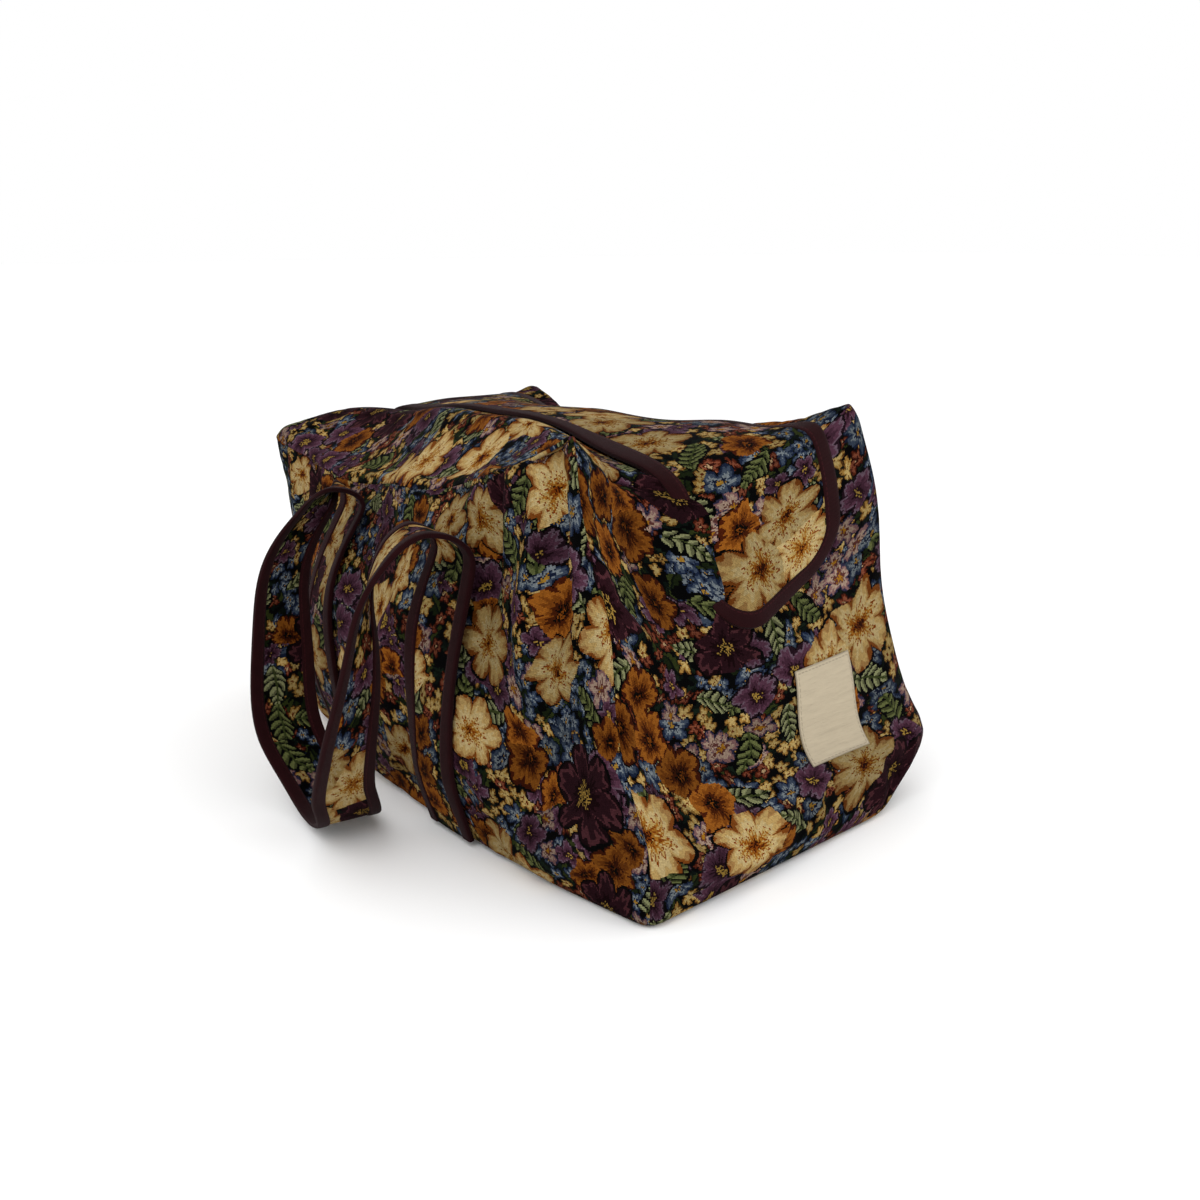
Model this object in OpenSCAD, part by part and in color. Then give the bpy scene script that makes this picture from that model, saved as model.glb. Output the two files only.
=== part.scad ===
/* [Bag] */
// Length of the bag along the middle of its base
bag_length = 500; // [430:5:570]
// Width of the bag at its base
bag_width = 212; // [190:2:240]
// Turn of the slumped bag from one end to the other, in degrees
bag_turn = 30; // [10:1:34]
// Thickness of the lined tapestry cloth
cloth_t = 2.4; // [1.6:0.1:3.2]
// Gap between two panels at a seam
seam_gap = 0.5; // [0.4:0.05:0.8]

/* [Slump] */
// Height of the standing corner at the front of the right end
front_right_corner = 281; // [262:1:300]
// Height of the standing corner at the back of the right end
back_right_corner = 281; // [262:1:300]
// Height of the standing corner at the front of the left end
front_left_corner = 224; // [216:1:250]
// Height of the standing corner at the back of the left end
back_left_corner = 258; // [244:1:280]
// Sag of the front rim between its corners
front_sag = 38; // [20:1:46]
// Sag of the back rim between its corners
back_sag = 30; // [16:1:34]
// How far the right end leans in at its rim
right_lean = 60; // [30:1:70]
// How far the left end leans in at its rim
left_lean = 2; // [-6:1:14]
// How far the front panel leans in at the middle of its rim
front_lean = 24; // [8:1:34]
// Swell of the front and back panels
side_swell = 20; // [8:1:30]
// Swell of the end panels
end_swell = 10; // [4:1:16]
// Depth of the crease in the rim of the right end
crease_depth = 24; // [8:1:28]
// Swell of the low back corner at the right end
low_corner_swell = 60; // [20:1:80]
// Swell of the back edge of the right end above the low corner
right_swell = 54; // [12:1:70]
// How far the front corner of the left end flares out
left_flare = 22; // [6:1:28]
// Rise of the front top panel between rim and mouth
front_crown = 30; // [16:1:34]
// Rise of the back top panel between rim and mouth
back_crown = 12; // [6:1:18]

/* [Mouth and zip] */
// Height of the closed mouth above the floor
mouth_height = 235; // [226:1:242]
// Width of the slot between the two top panels
mouth_gap = 15; // [14:0.5:18]
// Distance of the straight zip behind the middle of the bag
zip_back = 22; // [16:1:28]
// Width of each zip tape
tape_w = 14; // [11:0.5:18]
// Thickness of the zip tapes
tape_t = 1; // [0.8:0.1:1.4]
// Width of one row of teeth
teeth_w = 2.4; // [2:0.1:3]
// Height of the teeth
teeth_h = 3; // [2.6:0.1:3.6]
// Slot between the two rows, in which the slider's post runs
teeth_slot = 1.8; // [1.6:0.1:2.4]
// Length of the zip slider
slider_l = 15; // [12:0.5:18]
// Width of the zip slider
slider_w = 10; // [9:0.2:11]
// Thickness of the slider's two plates
slider_plate = 1.4; // [1.2:0.1:1.8]
// Distance of the closed slider from the middle of the bag
slider_place = 130; // [100:1:140]
// Length of the zip pull from its pin
pull_l = 26; // [20:1:30]
// Width of the zip pull
pull_w = 7; // [6.4:0.2:8]
// Thickness of the zip pull
pull_t = 1.6; // [1.2:0.1:2]
// Diameter of the pull's pin
pin_d = 2; // [1.6:0.1:2.4]
// Length of each zip end stop
stop_l = 6; // [4:0.5:8]
// Drop of the zip tapes below the top panels
tape_drop = 0.6; // [0.4:0.1:1.6]
// Running gap of the moving zip pieces
zip_clear = 0.35; // [0.3:0.05:0.5]

/* [Flap] */
// Width of the closing flap over its bindings
flap_w = 92; // [84:1:100]
// Distance of the flap's middle behind the middle of the bag
flap_back = 30; // [24:1:34]
// Height of the flap's right tip above the floor
flap_right_tip = 144; // [135:1:175]
// How much higher the far corner of the right tip lies than the near one
flap_skew = 34; // [0:1:40]
// Height of the flap's left tip above the floor
flap_left_tip = 150; // [135:1:170]
// Radius of the flap's tips
flap_tip_r = 28; // [20:1:36]
// Rise of the flap's middle above its edges
flap_arch = 4; // [3:0.5:7]
// Rise of the flap where it bends over the right end
flap_end_rise = 14; // [4:1:18]
// Lift of the flap's edges off the cloth below
flap_lift = 2.7; // [2.4:0.1:4.5]

/* [Handles] */
// Width of the handle straps over their bindings
strap_w = 46; // [40:1:52]
// Distance between the two legs of a handle
leg_spacing = 166; // [150:2:190]
// Height at which a handle leaves its panel
leg_top = 196; // [184:1:200]
// Height of the leg's lower end above the floor
leg_bottom = 5; // [4:0.5:10]
// Lift of the sewn legs off the panel
leg_lift = 0.9; // [0.8:0.1:1.4]
// Width of the edge bindings
binding_w = 9; // [7:0.5:11]
// Thickness of the edge bindings
binding_t = 3.8; // [3.4:0.1:4.6]
// Gap between a binding and the cloth that it edges
binding_gap = 0.4; // [0.3:0.05:0.6]

/* [Label] */
// Width of the label
label_w = 57; // [46:1:62]
// Height of the label
label_h = 65; // [50:1:70]
// Thickness of the label
label_t = 1; // [0.7:0.1:1.5]
// Height of the label's middle above the floor
label_height = 88; // [70:1:110]
// Distance of the label's middle behind the middle of the right end
label_back = 44; // [36:1:58]
// Gap between the label and the panel behind it
label_gap = 0.7; // [0.6:0.05:0.9]

/* [Hidden] */

TAPESTRY = [0.27, 0.22, 0.16];
OXBLOOD = [0.17, 0.06, 0.06];
CREAM = [0.85, 0.80, 0.68];
BRASS = [0.62, 0.50, 0.28];

half_l = bag_length / 2;
half_w = bag_width / 2;
turn_radius = bag_length / (bag_turn * PI / 180);

// Grid steps of the panels along, up and across
long_steps = 28;
up_steps = 12;
wide_steps = 20;
base_steps = 8;
top_steps = 8;

// Plain curves
function wave(t) = 1 - t * t;
function hill(t, at, wide) = exp(-pow((t - at) / wide, 2));
function mix(p, q, t) = p + (q - p) * t;
function unit(v) = v / norm(v);
function steps(n) = [for (i = [0 : n]) i / n];
function both_ways(n, inset) = [for (t = steps(n)) (2 * t - 1) * (1 - inset)];

// The slumped bag: a straight bag is shaped first, then turned along its length.
// Places on it are [a, b, c] from -1 to 1 along, across and up.
function turned(p) =
    let (f = p[0] / turn_radius * 180 / PI)
    [(turn_radius - p[1]) * sin(f), turn_radius - (turn_radius - p[1]) * cos(f), p[2]];

function corner_z(a, b) =
    mix(
        mix(front_left_corner, front_right_corner, (1 + a) / 2),
        mix(back_left_corner, back_right_corner, (1 + a) / 2),
        (1 + b) / 2
    );
function side_rim(a, b) = corner_z(a, b) - (b < 0 ? front_sag : back_sag) * wave(a);
function end_rim(a, b) = mix(corner_z(a, b), mouth_height, wave(b));
function rim_z(a, b) = abs(a) >= abs(b) ? end_rim(a, b) : side_rim(a, b);

crease_place = -0.36;
crease_wide = 0.26;
function along(a, b, h) =
    a * half_l
    - right_lean * (1 + a) / 2 * pow(h, 1.4)
    + left_lean * (1 - a) / 2 * h
    + a * end_swell * wave(b) * sin(180 * h)
    - crease_depth * pow((1 + a) / 2, 3) * hill(b, crease_place, crease_wide) * h * h;
function across(a, b, h) =
    b * half_w
    + b * side_swell * wave(a) * sin(180 * min(1, h * 1.05))
    + front_lean * (1 - b) / 2 * wave(a) * h * h * h
    + low_corner_swell * (1 + b) / 2 * hill(a, 0.86, 0.3) * hill(h, 0.12, 0.14)
    + right_swell * pow((1 + b) / 2, 3) * hill(a, 1, 0.55) * (1 - pow(1 - h, 4))
    - left_flare * (1 - b) / 2 * pow((1 - a) / 2, 3) * h * h;
function straight(a, b, h, z) = [along(a, b, h), across(a, b, h), z];

// One side point of the skin, moved in by a depth below its outer face
function side(a, b, c, depth) =
    let (h = (1 + c) / 2)
    turned(straight(a, b, h, h * rim_z(a, b)) - depth * [a, b, c]);

// The straight mouth line, between the middles of the two end rims
function mouth_y(a, y) =
    let (f = along(a, 0, 1) / turn_radius * 180 / PI)
    turn_radius - (turn_radius - y) / cos(f);
function mouth_share(a, y) = mouth_y(a, y) / half_w;
// The ends swell, so the place across is found in a few steps
function closer_b(a, y, b, tries) =
    tries == 0 ? b : closer_b(a, y, b - (across(a, b, 1) - y) / half_w, tries - 1);
function mouth_b(a, y) = closer_b(a, mouth_y(a, y), mouth_share(a, y), 6);
end_inset = cloth_t + 1.2;
// The top panels crest nearer to the mouth than to their rims
crown_skew = 1.4;
function mouth_end(a, y) = side(a, mouth_b(a, y), 1, 0) - [a * end_inset, 0, 0];
function mouth_x(a) = mix(mouth_end(-1, zip_back)[0], mouth_end(1, zip_back)[0], (1 + a) / 2);

// A top panel runs from a rim (t = 0) to the edge of the mouth (t = 1)
function end_curve(a, facing, t) =
    let (b = mix(facing, mouth_b(a, zip_back + facing * mouth_gap / 2), t))
    side(a, b, 1, 0) - [a * end_inset * min(1, 6 * t + 0.35), 0, 0];
function ruled_top(a, facing, t) =
    mix(side(a, facing, 1, 0), [mouth_x(a), zip_back + facing * mouth_gap / 2, mouth_height], t);
function end_pull(a, facing, t) =
    pow((1 + abs(a)) / 2, 8) * (end_curve(sign(a), facing, t) - ruled_top(sign(a), facing, t));
function top_point(a, facing, t) =
    ruled_top(a, facing, t) + end_pull(a, facing, t)
    + [0, 0, (facing < 0 ? front_crown : back_crown) * wave(a) * pow(sin(180 * pow(t, crown_skew)), 1.2)];
function top_inner(a, facing, t) =
    top_point(a, facing, t) + cloth_t * [-a * (1 - t), -facing * (1 - t), -1];

// A closed slab between two grids of points of one size
module sheet(outer, inner) {
    rows = len(outer);
    cols = len(outer[0]);
    function at(i, j, k) = k * rows * cols + i * cols + j;
    function quad(p, q, r, s) = [[p, q, r], [p, r, s]];
    points = concat([for (row = outer) each row], [for (row = inner) each row]);
    skin_faces = [for (i = [0 : rows - 2], j = [0 : cols - 2])
        each concat(
            quad(at(i, j, 0), at(i, j + 1, 0), at(i + 1, j + 1, 0), at(i + 1, j, 0)),
            quad(at(i, j, 1), at(i + 1, j, 1), at(i + 1, j + 1, 1), at(i, j + 1, 1))
        )];
    long_edges = [for (i = [0 : rows - 2])
        each concat(
            quad(at(i, 0, 0), at(i + 1, 0, 0), at(i + 1, 0, 1), at(i, 0, 1)),
            quad(at(i + 1, cols - 1, 0), at(i, cols - 1, 0), at(i, cols - 1, 1), at(i + 1, cols - 1, 1))
        )];
    short_edges = [for (j = [0 : cols - 2])
        each concat(
            quad(at(0, j + 1, 0), at(0, j, 0), at(0, j, 1), at(0, j + 1, 1)),
            quad(at(rows - 1, j, 0), at(rows - 1, j + 1, 0), at(rows - 1, j + 1, 1), at(rows - 1, j, 1))
        )];
    polyhedron(points, concat(skin_faces, long_edges, short_edges));
}

// Panels
long_inset = seam_gap / bag_length;
wide_inset = seam_gap / bag_width;
up_inset = seam_gap / mouth_height;
LONGS = both_ways(long_steps, long_inset);
UPS = both_ways(up_steps, up_inset);
WIDES = both_ways(wide_steps, wide_inset);
BASE_WIDES = both_ways(base_steps, wide_inset);

module front_panel() {
    color(TAPESTRY)
        sheet(
            [for (a = LONGS) [for (c = UPS) side(a, -1, c, 0)]],
            [for (a = LONGS) [for (c = UPS) side(a, -1, c, cloth_t)]]
        );
}

module back_panel() {
    color(TAPESTRY)
        sheet(
            [for (c = UPS) [for (a = LONGS) side(a, 1, c, 0)]],
            [for (c = UPS) [for (a = LONGS) side(a, 1, c, cloth_t)]]
        );
}

module right_end_panel() {
    color(TAPESTRY)
        sheet(
            [for (b = WIDES) [for (c = UPS) side(1, b, c, 0)]],
            [for (b = WIDES) [for (c = UPS) side(1, b, c, cloth_t)]]
        );
}

module left_end_panel() {
    color(TAPESTRY)
        sheet(
            [for (c = UPS) [for (b = WIDES) side(-1, b, c, 0)]],
            [for (c = UPS) [for (b = WIDES) side(-1, b, c, cloth_t)]]
        );
}

module base_panel() {
    color(TAPESTRY)
        sheet(
            [for (b = BASE_WIDES) [for (a = LONGS) side(a, b, -1, 0)]],
            [for (b = BASE_WIDES) [for (a = LONGS) side(a, b, -1, cloth_t)]]
        );
}

rim_inset = 2 * seam_gap / half_w;
top_ts = [for (t = steps(top_steps)) rim_inset + t * (1 - rim_inset)];

module front_top_panel() {
    color(TAPESTRY)
        sheet(
            [for (a = LONGS) [for (t = top_ts) top_point(a, -1, t)]],
            [for (a = LONGS) [for (t = top_ts) top_inner(a, -1, t)]]
        );
}

module back_top_panel() {
    color(TAPESTRY)
        sheet(
            [for (t = top_ts) [for (a = LONGS) top_point(a, 1, t)]],
            [for (t = top_ts) [for (a = LONGS) top_inner(a, 1, t)]]
        );
}

// Zip
tape_top = mouth_height - cloth_t - tape_drop;
teeth_outer = teeth_slot / 2 + teeth_w;
zip_end_room = 10;
stop_low = 0.8;
zip_left = mouth_x(-1) + zip_end_room;
zip_right = mouth_x(1) - zip_end_room;
zip_run = zip_right - zip_left;
teeth_top = tape_top + (teeth_h - tape_t) / 2;

module zip_tape(facing) {
    color(OXBLOOD)
        translate([
            zip_left,
            zip_back + (facing < 0 ? -teeth_outer - tape_w : teeth_outer),
            tape_top - tape_t
        ])
            cube([zip_run, tape_w, tape_t]);
}

module zip_teeth(facing) {
    color(BRASS)
        translate([
            zip_left,
            zip_back + (facing < 0 ? -teeth_outer : teeth_slot / 2),
            teeth_top - teeth_h
        ])
            cube([zip_run, teeth_w, teeth_h]);
}

module zip_stops() {
    color(BRASS)
        for (x = [zip_left - stop_l, zip_right])
            translate([x, zip_back - teeth_outer, teeth_top - teeth_h])
                cube([stop_l, 2 * teeth_outer, teeth_h - stop_low]);
}

// Slider: an upper and a lower plate joined by a thin post that runs between the two rows of teeth
slider_top = teeth_top + zip_clear + slider_plate;
slider_low = teeth_top - teeth_h - zip_clear - slider_plate;
lug_t = 1.4;
wall_round_pin = 1;
lug_l = pin_d + 2 * wall_round_pin;
lug_over = 0.6;
eye_w = slider_w - 2 * lug_t - 2 * zip_clear;
eye_d = pin_d + 2 * wall_round_pin;
pin_z = slider_top + eye_d / 2 + zip_clear;
pin_room = 0.1;

module zip_slider() {
    color(BRASS)
        translate([slider_place, zip_back, 0]) {
            for (z = [slider_low, slider_top - slider_plate])
                translate([-slider_l / 2, -slider_w / 2, z])
                    cube([slider_l, slider_w, slider_plate]);
            translate([-slider_l / 2, -teeth_slot / 2 + zip_clear, slider_low])
                cube([slider_l / 3, teeth_slot - 2 * zip_clear, slider_top - slider_low]);
            for (y = [-slider_w / 2, slider_w / 2 - lug_t])
                translate([-lug_l / 2, y, slider_top - slider_plate])
                    cube([lug_l, lug_t, pin_z + pin_d / 2 + lug_over - slider_top + slider_plate]);
            translate([0, slider_w / 2, pin_z])
                rotate([90, 0, 0])
                    cylinder(d = pin_d, h = slider_w, $fn = 48);
        }
}

module zip_pull() {
    color(BRASS)
        translate([slider_place, zip_back, pin_z])
            difference() {
                union() {
                    translate([0, eye_w / 2, 0])
                        rotate([90, 0, 0])
                            cylinder(d = eye_d, h = eye_w, $fn = 48);
                    translate([-pull_l + pull_w / 2, -eye_w / 2, -pull_t / 2])
                        cube([pull_l - pull_w / 2, eye_w, pull_t]);
                    translate([-pull_l + pull_w / 2, 0, -pull_t / 2])
                        cylinder(d = pull_w, h = pull_t, $fn = 48);
                }
                translate([0, slider_w / 2, 0])
                    rotate([90, 0, 0])
                        cylinder(d = pin_d + 2 * pin_room, h = slider_w, $fn = 48);
                translate([-pull_l + pull_w / 2, 0, -pull_t])
                    cylinder(d = pull_w / 2, h = 2 * pull_t, $fn = 48);
            }
}

// Closing flap: cross rows of points from the right tip, over the top, to the left tip
function b_of(y) = y / half_w;
flap_near = flap_back - flap_w / 2;
flap_far = flap_back + flap_w / 2;
function flap_y(w) = mix(flap_near, flap_far, (1 + w) / 2);
function top_t(a, facing, y) =
    (1 - facing * b_of(y)) / (1 - facing * mouth_share(a, zip_back + facing * mouth_gap / 2));
end_rows = 9;
top_rows = 24;
cols_across = 6;
flap_reach = 0.93;
flap_stand = flap_lift + cloth_t;

function flap_crest(a, w) =
    end_rim(a, b_of(flap_y(w))) + flap_lift + (a > 0 ? flap_end_rise * (1 - hill(w, -1, 0.5)) : 0);
function flap_end_point(a, tip, k, w) =
    let (
        b = b_of(flap_y(w)),
        z = mix(tip + (a > 0 ? flap_skew * (1 + w) / 2 : 0), flap_crest(a, w), k),
        h = min(1, z / end_rim(a, b))
    )
    turned(straight(a, b, h, z) + [a * flap_stand, 0, 0]);
function flap_top_edge(a, facing, y) = top_point(a, facing, top_t(a, facing, y)) + [0, 0, flap_lift];
function flap_top_point(a, w) =
    mix(flap_top_edge(a, -1, flap_near), flap_top_edge(a, 1, flap_far), (1 + w) / 2)
    + [0, 0, flap_arch * wave(w)];
across_marks = both_ways(cols_across, 0);
FLAP_GRID = concat(
    [for (k = steps(end_rows)) [for (w = across_marks) flap_end_point(1, flap_right_tip, k, w)]],
    [for (t = steps(top_rows)) [for (w = across_marks) flap_top_point(flap_reach * (1 - 2 * t), w)]],
    [for (k = steps(end_rows)) [for (w = across_marks) flap_end_point(-1, flap_left_tip, 1 - k, w)]]
);
flap_spans = len(FLAP_GRID) - 1;

// A point of the flap at row place v, with w from -1 at the near edge to 1 at the far edge
function flap_row_at(i, w) =
    let (
        place = (1 + w) / 2 * cols_across,
        j = max(0, min(cols_across - 1, floor(place)))
    )
    mix(FLAP_GRID[i][j], FLAP_GRID[i][j + 1], place - j);
function flap_at(v, w) =
    let (i = max(0, min(flap_spans - 1, floor(v))))
    mix(flap_row_at(i, w), flap_row_at(i + 1, w), v - i);
function flap_normal(v, w) =
    unit(cross(
        flap_at(min(flap_spans, v + 0.5), w) - flap_at(max(0, v - 0.5), w),
        flap_at(v, w - 0.05) - flap_at(v, w + 0.05)
    ));
function flap_skin(v, w, depth) = flap_at(v, w) - depth * flap_normal(v, w);

// Outline of the flap, inset by a width, as half its width at a row place near a tip
right_step = norm(FLAP_GRID[1][0] - FLAP_GRID[0][0]);
left_step = norm(FLAP_GRID[flap_spans][0] - FLAP_GRID[flap_spans - 1][0]);
function tip_half(d, inset) =
    let (r = flap_tip_r - inset, x = max(0, min(r, r - d)))
    flap_w / 2 - inset - r + sqrt(r * r - x * x);
tip_marks = [0, 0.04, 0.14, 0.3, 0.5, 0.74, 1];
function flap_stations(inset) =
    concat(
        [for (m = tip_marks) (inset + m * (flap_tip_r - inset)) / right_step],
        [for (i = [ceil(flap_tip_r / right_step + 0.2) : flap_spans - ceil(flap_tip_r / left_step + 0.2)]) i],
        [for (k = [len(tip_marks) - 1 : -1 : 0])
            flap_spans - (inset + tip_marks[k] * (flap_tip_r - inset)) / left_step]
    );
function flap_half(v, inset) =
    tip_half(min(v * right_step, (flap_spans - v) * left_step) - inset, inset) / (flap_w / 2);

flap_core_inset = binding_w + binding_gap;

module closing_flap() {
    function grid(depth) =
        [for (v = flap_stations(flap_core_inset))
            [for (w = [cols_across : -1 : 0])
                flap_skin(v, (2 * w / cols_across - 1) * flap_half(v, flap_core_inset), depth)]];
    color(TAPESTRY)
        sheet(grid(-cloth_t / 2), grid(cloth_t / 2));
}

// The binding runs round the flap as one closed ring of four-sided sections
function flap_outline(inset) =
    concat(
        [for (v = flap_stations(inset)) [v, -flap_half(v, inset)]],
        [for (k = [len(flap_stations(inset)) - 1 : -1 : 0])
            let (v = flap_stations(inset)[k]) [v, flap_half(v, inset)]]
    );

module flap_binding() {
    outer = flap_outline(0);
    inner = flap_outline(binding_w);
    n = len(outer);
    ring = [for (i = [0 : n - 1])
        [
            flap_skin(outer[i][0], outer[i][1], -binding_t / 2),
            flap_skin(inner[i][0], inner[i][1], -binding_t / 2),
            flap_skin(inner[i][0], inner[i][1], binding_t / 2),
            flap_skin(outer[i][0], outer[i][1], binding_t / 2)
        ]];
    color(OXBLOOD)
        polyhedron(
            [for (section = ring) each section],
            [for (i = [0 : n - 1], k = [0 : 3])
                let (j = (i + 1) % n, m = (k + 1) % 4)
                each [[4 * i + k, 4 * i + m, 4 * j + m], [4 * i + k, 4 * j + m, 4 * j + k]]]
        );
}

// Handles: each leg lies on its panel, and the loop between hangs free.
// A loop point is [along, out from the panel, height, width direction along, width direction out].
LOOP = [
    [84, 13, 204, 1.00, 0.12],
    [84, 31, 208, 0.98, 0.30],
    [86, 50, 197, 0.90, 0.46],
    [90, 60, 172, 0.72, 0.72],
    [95, 62, 140, 0.52, 0.86],
    [95, 62, 104, 0.34, 0.95],
    [89, 60, 66, 0.22, 0.98],
    [70, 56, 28, 0.08, 1.00],
    [38, 52, 8, 0.00, 1.00],
    [6, 50, 13, 0.00, 1.00],
    [-16, 50, 42, 0.06, 1.00],
    [-26, 50, 84, 0.12, 1.00],
    [-34, 49, 126, 0.24, 0.97],
    [-44, 46, 166, 0.44, 0.90],
    [-57, 38, 197, 0.72, 0.70],
    [-72, 25, 207, 0.92, 0.40],
    [-81, 11, 203, 1.00, 0.14]
];
leg_rows = 14;
loop_parts = 3;

// Place along a long panel, from -1 to 1, of its point at s, with the lean of the ends taken out
function lean_free(s, h) =
    let (
        right = right_lean / 2 * pow(h, 1.4),
        left = left_lean / 2 * h
    )
    (s + right - left) / (half_l - right - left);
function face_a(s, z, facing) =
    let (first = lean_free(s, z / side_rim(s / half_l, facing)))
    lean_free(s, z / side_rim(first, facing));
// A point of the outer face of the front (-1) or back (1) panel, moved out by a lift
function face_at(s, z, facing, lift) =
    let (
        a = face_a(s, z, facing),
        h = z / side_rim(a, facing)
    )
    [s, across(a, facing, h) + facing * lift, z];
// Rows of a leg and of the loop, as [left edge, right edge]
function leg_row(s, z, facing) =
    [for (x = [-1, 1]) face_at(s + x * strap_w / 2, z, facing, leg_lift + binding_t / 2)];
function curve(p0, p1, p2, p3, t) =
    0.5 * (2 * p1 + (p2 - p0) * t + (2 * p0 - 5 * p1 + 4 * p2 - p3) * t * t
        + (3 * p1 - p0 - 3 * p2 + p3) * t * t * t);
function pick(i) = LOOP[max(0, min(len(LOOP) - 1, i))];
function loop_place(i, t) = curve(pick(i - 1), pick(i), pick(i + 1), pick(i + 2), t);
loop_scale = leg_spacing / 166;
function loop_row(p, facing) =
    let (
        out = face_at(p[0] * loop_scale, min(p[2], leg_top), facing, p[1] + leg_lift + binding_t / 2),
        middle = [out[0], out[1], p[2]],
        way = unit([p[3], facing * p[4], 0])
    )
    [middle - way * strap_w / 2, middle + way * strap_w / 2];
function strap_rows(facing) =
    concat(
        [for (k = steps(leg_rows)) leg_row(leg_spacing / 2, mix(leg_bottom, leg_top, k), facing)],
        [for (i = [0 : len(LOOP) - 2], k = [0 : loop_parts - 1])
            loop_row(loop_place(i, k / loop_parts), facing)],
        [loop_row(pick(len(LOOP) - 1), facing)],
        [for (k = steps(leg_rows)) leg_row(-leg_spacing / 2, mix(leg_top, leg_bottom, k), facing)]
    );

// A strip of a strap, between two places across it, from 0 at the left edge to strap_w at the right
module strap_strip(facing, from, to, thick) {
    rows = strap_rows(facing);
    last = len(rows) - 1;
    function middle(i) = (rows[i][0] + rows[i][1]) / 2;
    function normal(i) =
        unit(cross(middle(min(last, i + 1)) - middle(max(0, i - 1)), rows[i][1] - rows[i][0]));
    function place(i, w, lift) =
        turned(mix(rows[i][0], rows[i][1], w / strap_w) + lift * normal(i));
    function grid(lift) =
        [for (i = [0 : last]) [place(i, from, lift), place(i, to, lift)]];
    sheet(grid(thick / 2), grid(-thick / 2));
}

module handle(facing) {
    color(TAPESTRY)
        strap_strip(facing, binding_w + binding_gap, strap_w - binding_w - binding_gap, cloth_t);
}

module inner_binding(facing) {
    color(OXBLOOD)
        strap_strip(facing, 0, binding_w, binding_t);
}

module outer_binding(facing) {
    color(OXBLOOD)
        strap_strip(facing, strap_w - binding_w, strap_w, binding_t);
}

// Label on the right end, which swells behind its middle, so a width takes a smaller share of it there
label_b = b_of(label_back);
label_reach = half_w + 1.5 * right_swell * pow((1 + label_b) / 2, 2);

module label() {
    cells = 6;
    function place(u, v, lift) =
        let (
            b = label_b + (u - 0.5) * label_w / label_reach,
            z = label_height + (v - 0.5) * label_h,
            h = z / end_rim(1, b)
        )
        turned(straight(1, b, h, z) + [lift, 0, 0]);
    function grid(lift) = [for (u = steps(cells)) [for (v = steps(cells)) place(u, v, lift)]];
    color(CREAM)
        sheet(grid(label_gap + label_t), grid(label_gap));
}

front_panel();
back_panel();
right_end_panel();
left_end_panel();
base_panel();
front_top_panel();
back_top_panel();
zip_tape(-1);  // front_zip_tape
zip_tape(1);  // back_zip_tape
zip_teeth(-1);  // front_teeth
zip_teeth(1);  // back_teeth
zip_stops();
zip_slider();
zip_pull();
closing_flap();
flap_binding();
handle(-1);  // front_handle
inner_binding(-1);  // front_handle_inner_binding
outer_binding(-1);  // front_handle_outer_binding
handle(1);  // back_handle
inner_binding(1);  // back_handle_inner_binding
outer_binding(1);  // back_handle_outer_binding
label();
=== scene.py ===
"""Dresses the slumped boston bag: tapestry panels, bound flap, strap handles, label and zip."""

import logging
import math
from dataclasses import dataclass, field
from enum import Enum
from typing import Any, Dict, List, Sequence, Tuple

import bpy
import numpy as np
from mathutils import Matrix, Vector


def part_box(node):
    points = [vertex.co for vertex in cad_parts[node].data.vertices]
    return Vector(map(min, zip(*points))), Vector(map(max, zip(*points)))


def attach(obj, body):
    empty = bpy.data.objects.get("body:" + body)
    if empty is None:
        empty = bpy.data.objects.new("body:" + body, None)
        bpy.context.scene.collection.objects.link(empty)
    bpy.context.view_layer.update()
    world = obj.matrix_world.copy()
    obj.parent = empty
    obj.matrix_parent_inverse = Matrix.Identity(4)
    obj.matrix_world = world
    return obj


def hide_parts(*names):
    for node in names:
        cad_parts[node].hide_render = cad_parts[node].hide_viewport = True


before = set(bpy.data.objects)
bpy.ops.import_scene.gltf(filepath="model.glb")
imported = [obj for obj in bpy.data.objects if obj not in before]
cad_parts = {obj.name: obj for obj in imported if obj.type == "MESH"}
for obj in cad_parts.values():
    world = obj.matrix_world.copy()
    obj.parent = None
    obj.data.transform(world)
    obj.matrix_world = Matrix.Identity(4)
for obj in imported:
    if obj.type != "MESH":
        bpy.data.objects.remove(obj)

LOG = logging.getLogger("boston_bag")
MM = 0.001
FULL_TURN = 6.283
PANEL_THICK = 0.0022
TAPE_THICK = 0.0006
SETTLE_FRAMES = 24
JUST_INSIDE = 0.999999
Colour = Tuple[float, float, float]
Pair = Tuple[float, float]


class Facing(Enum):
    """The long side of the bag that a piece belongs to."""

    FRONT = -1
    BACK = 1


class Kind(Enum):
    """Kinds of flower in the tapestry, named after their look."""

    DAFFODIL = "daffodil"
    PANSY = "pansy"
    PLUM = "plum"
    PINK = "pink"
    POPPY = "poppy"
    BLUE = "blue"
    CREAM = "cream"
    RUST = "rust"


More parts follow.
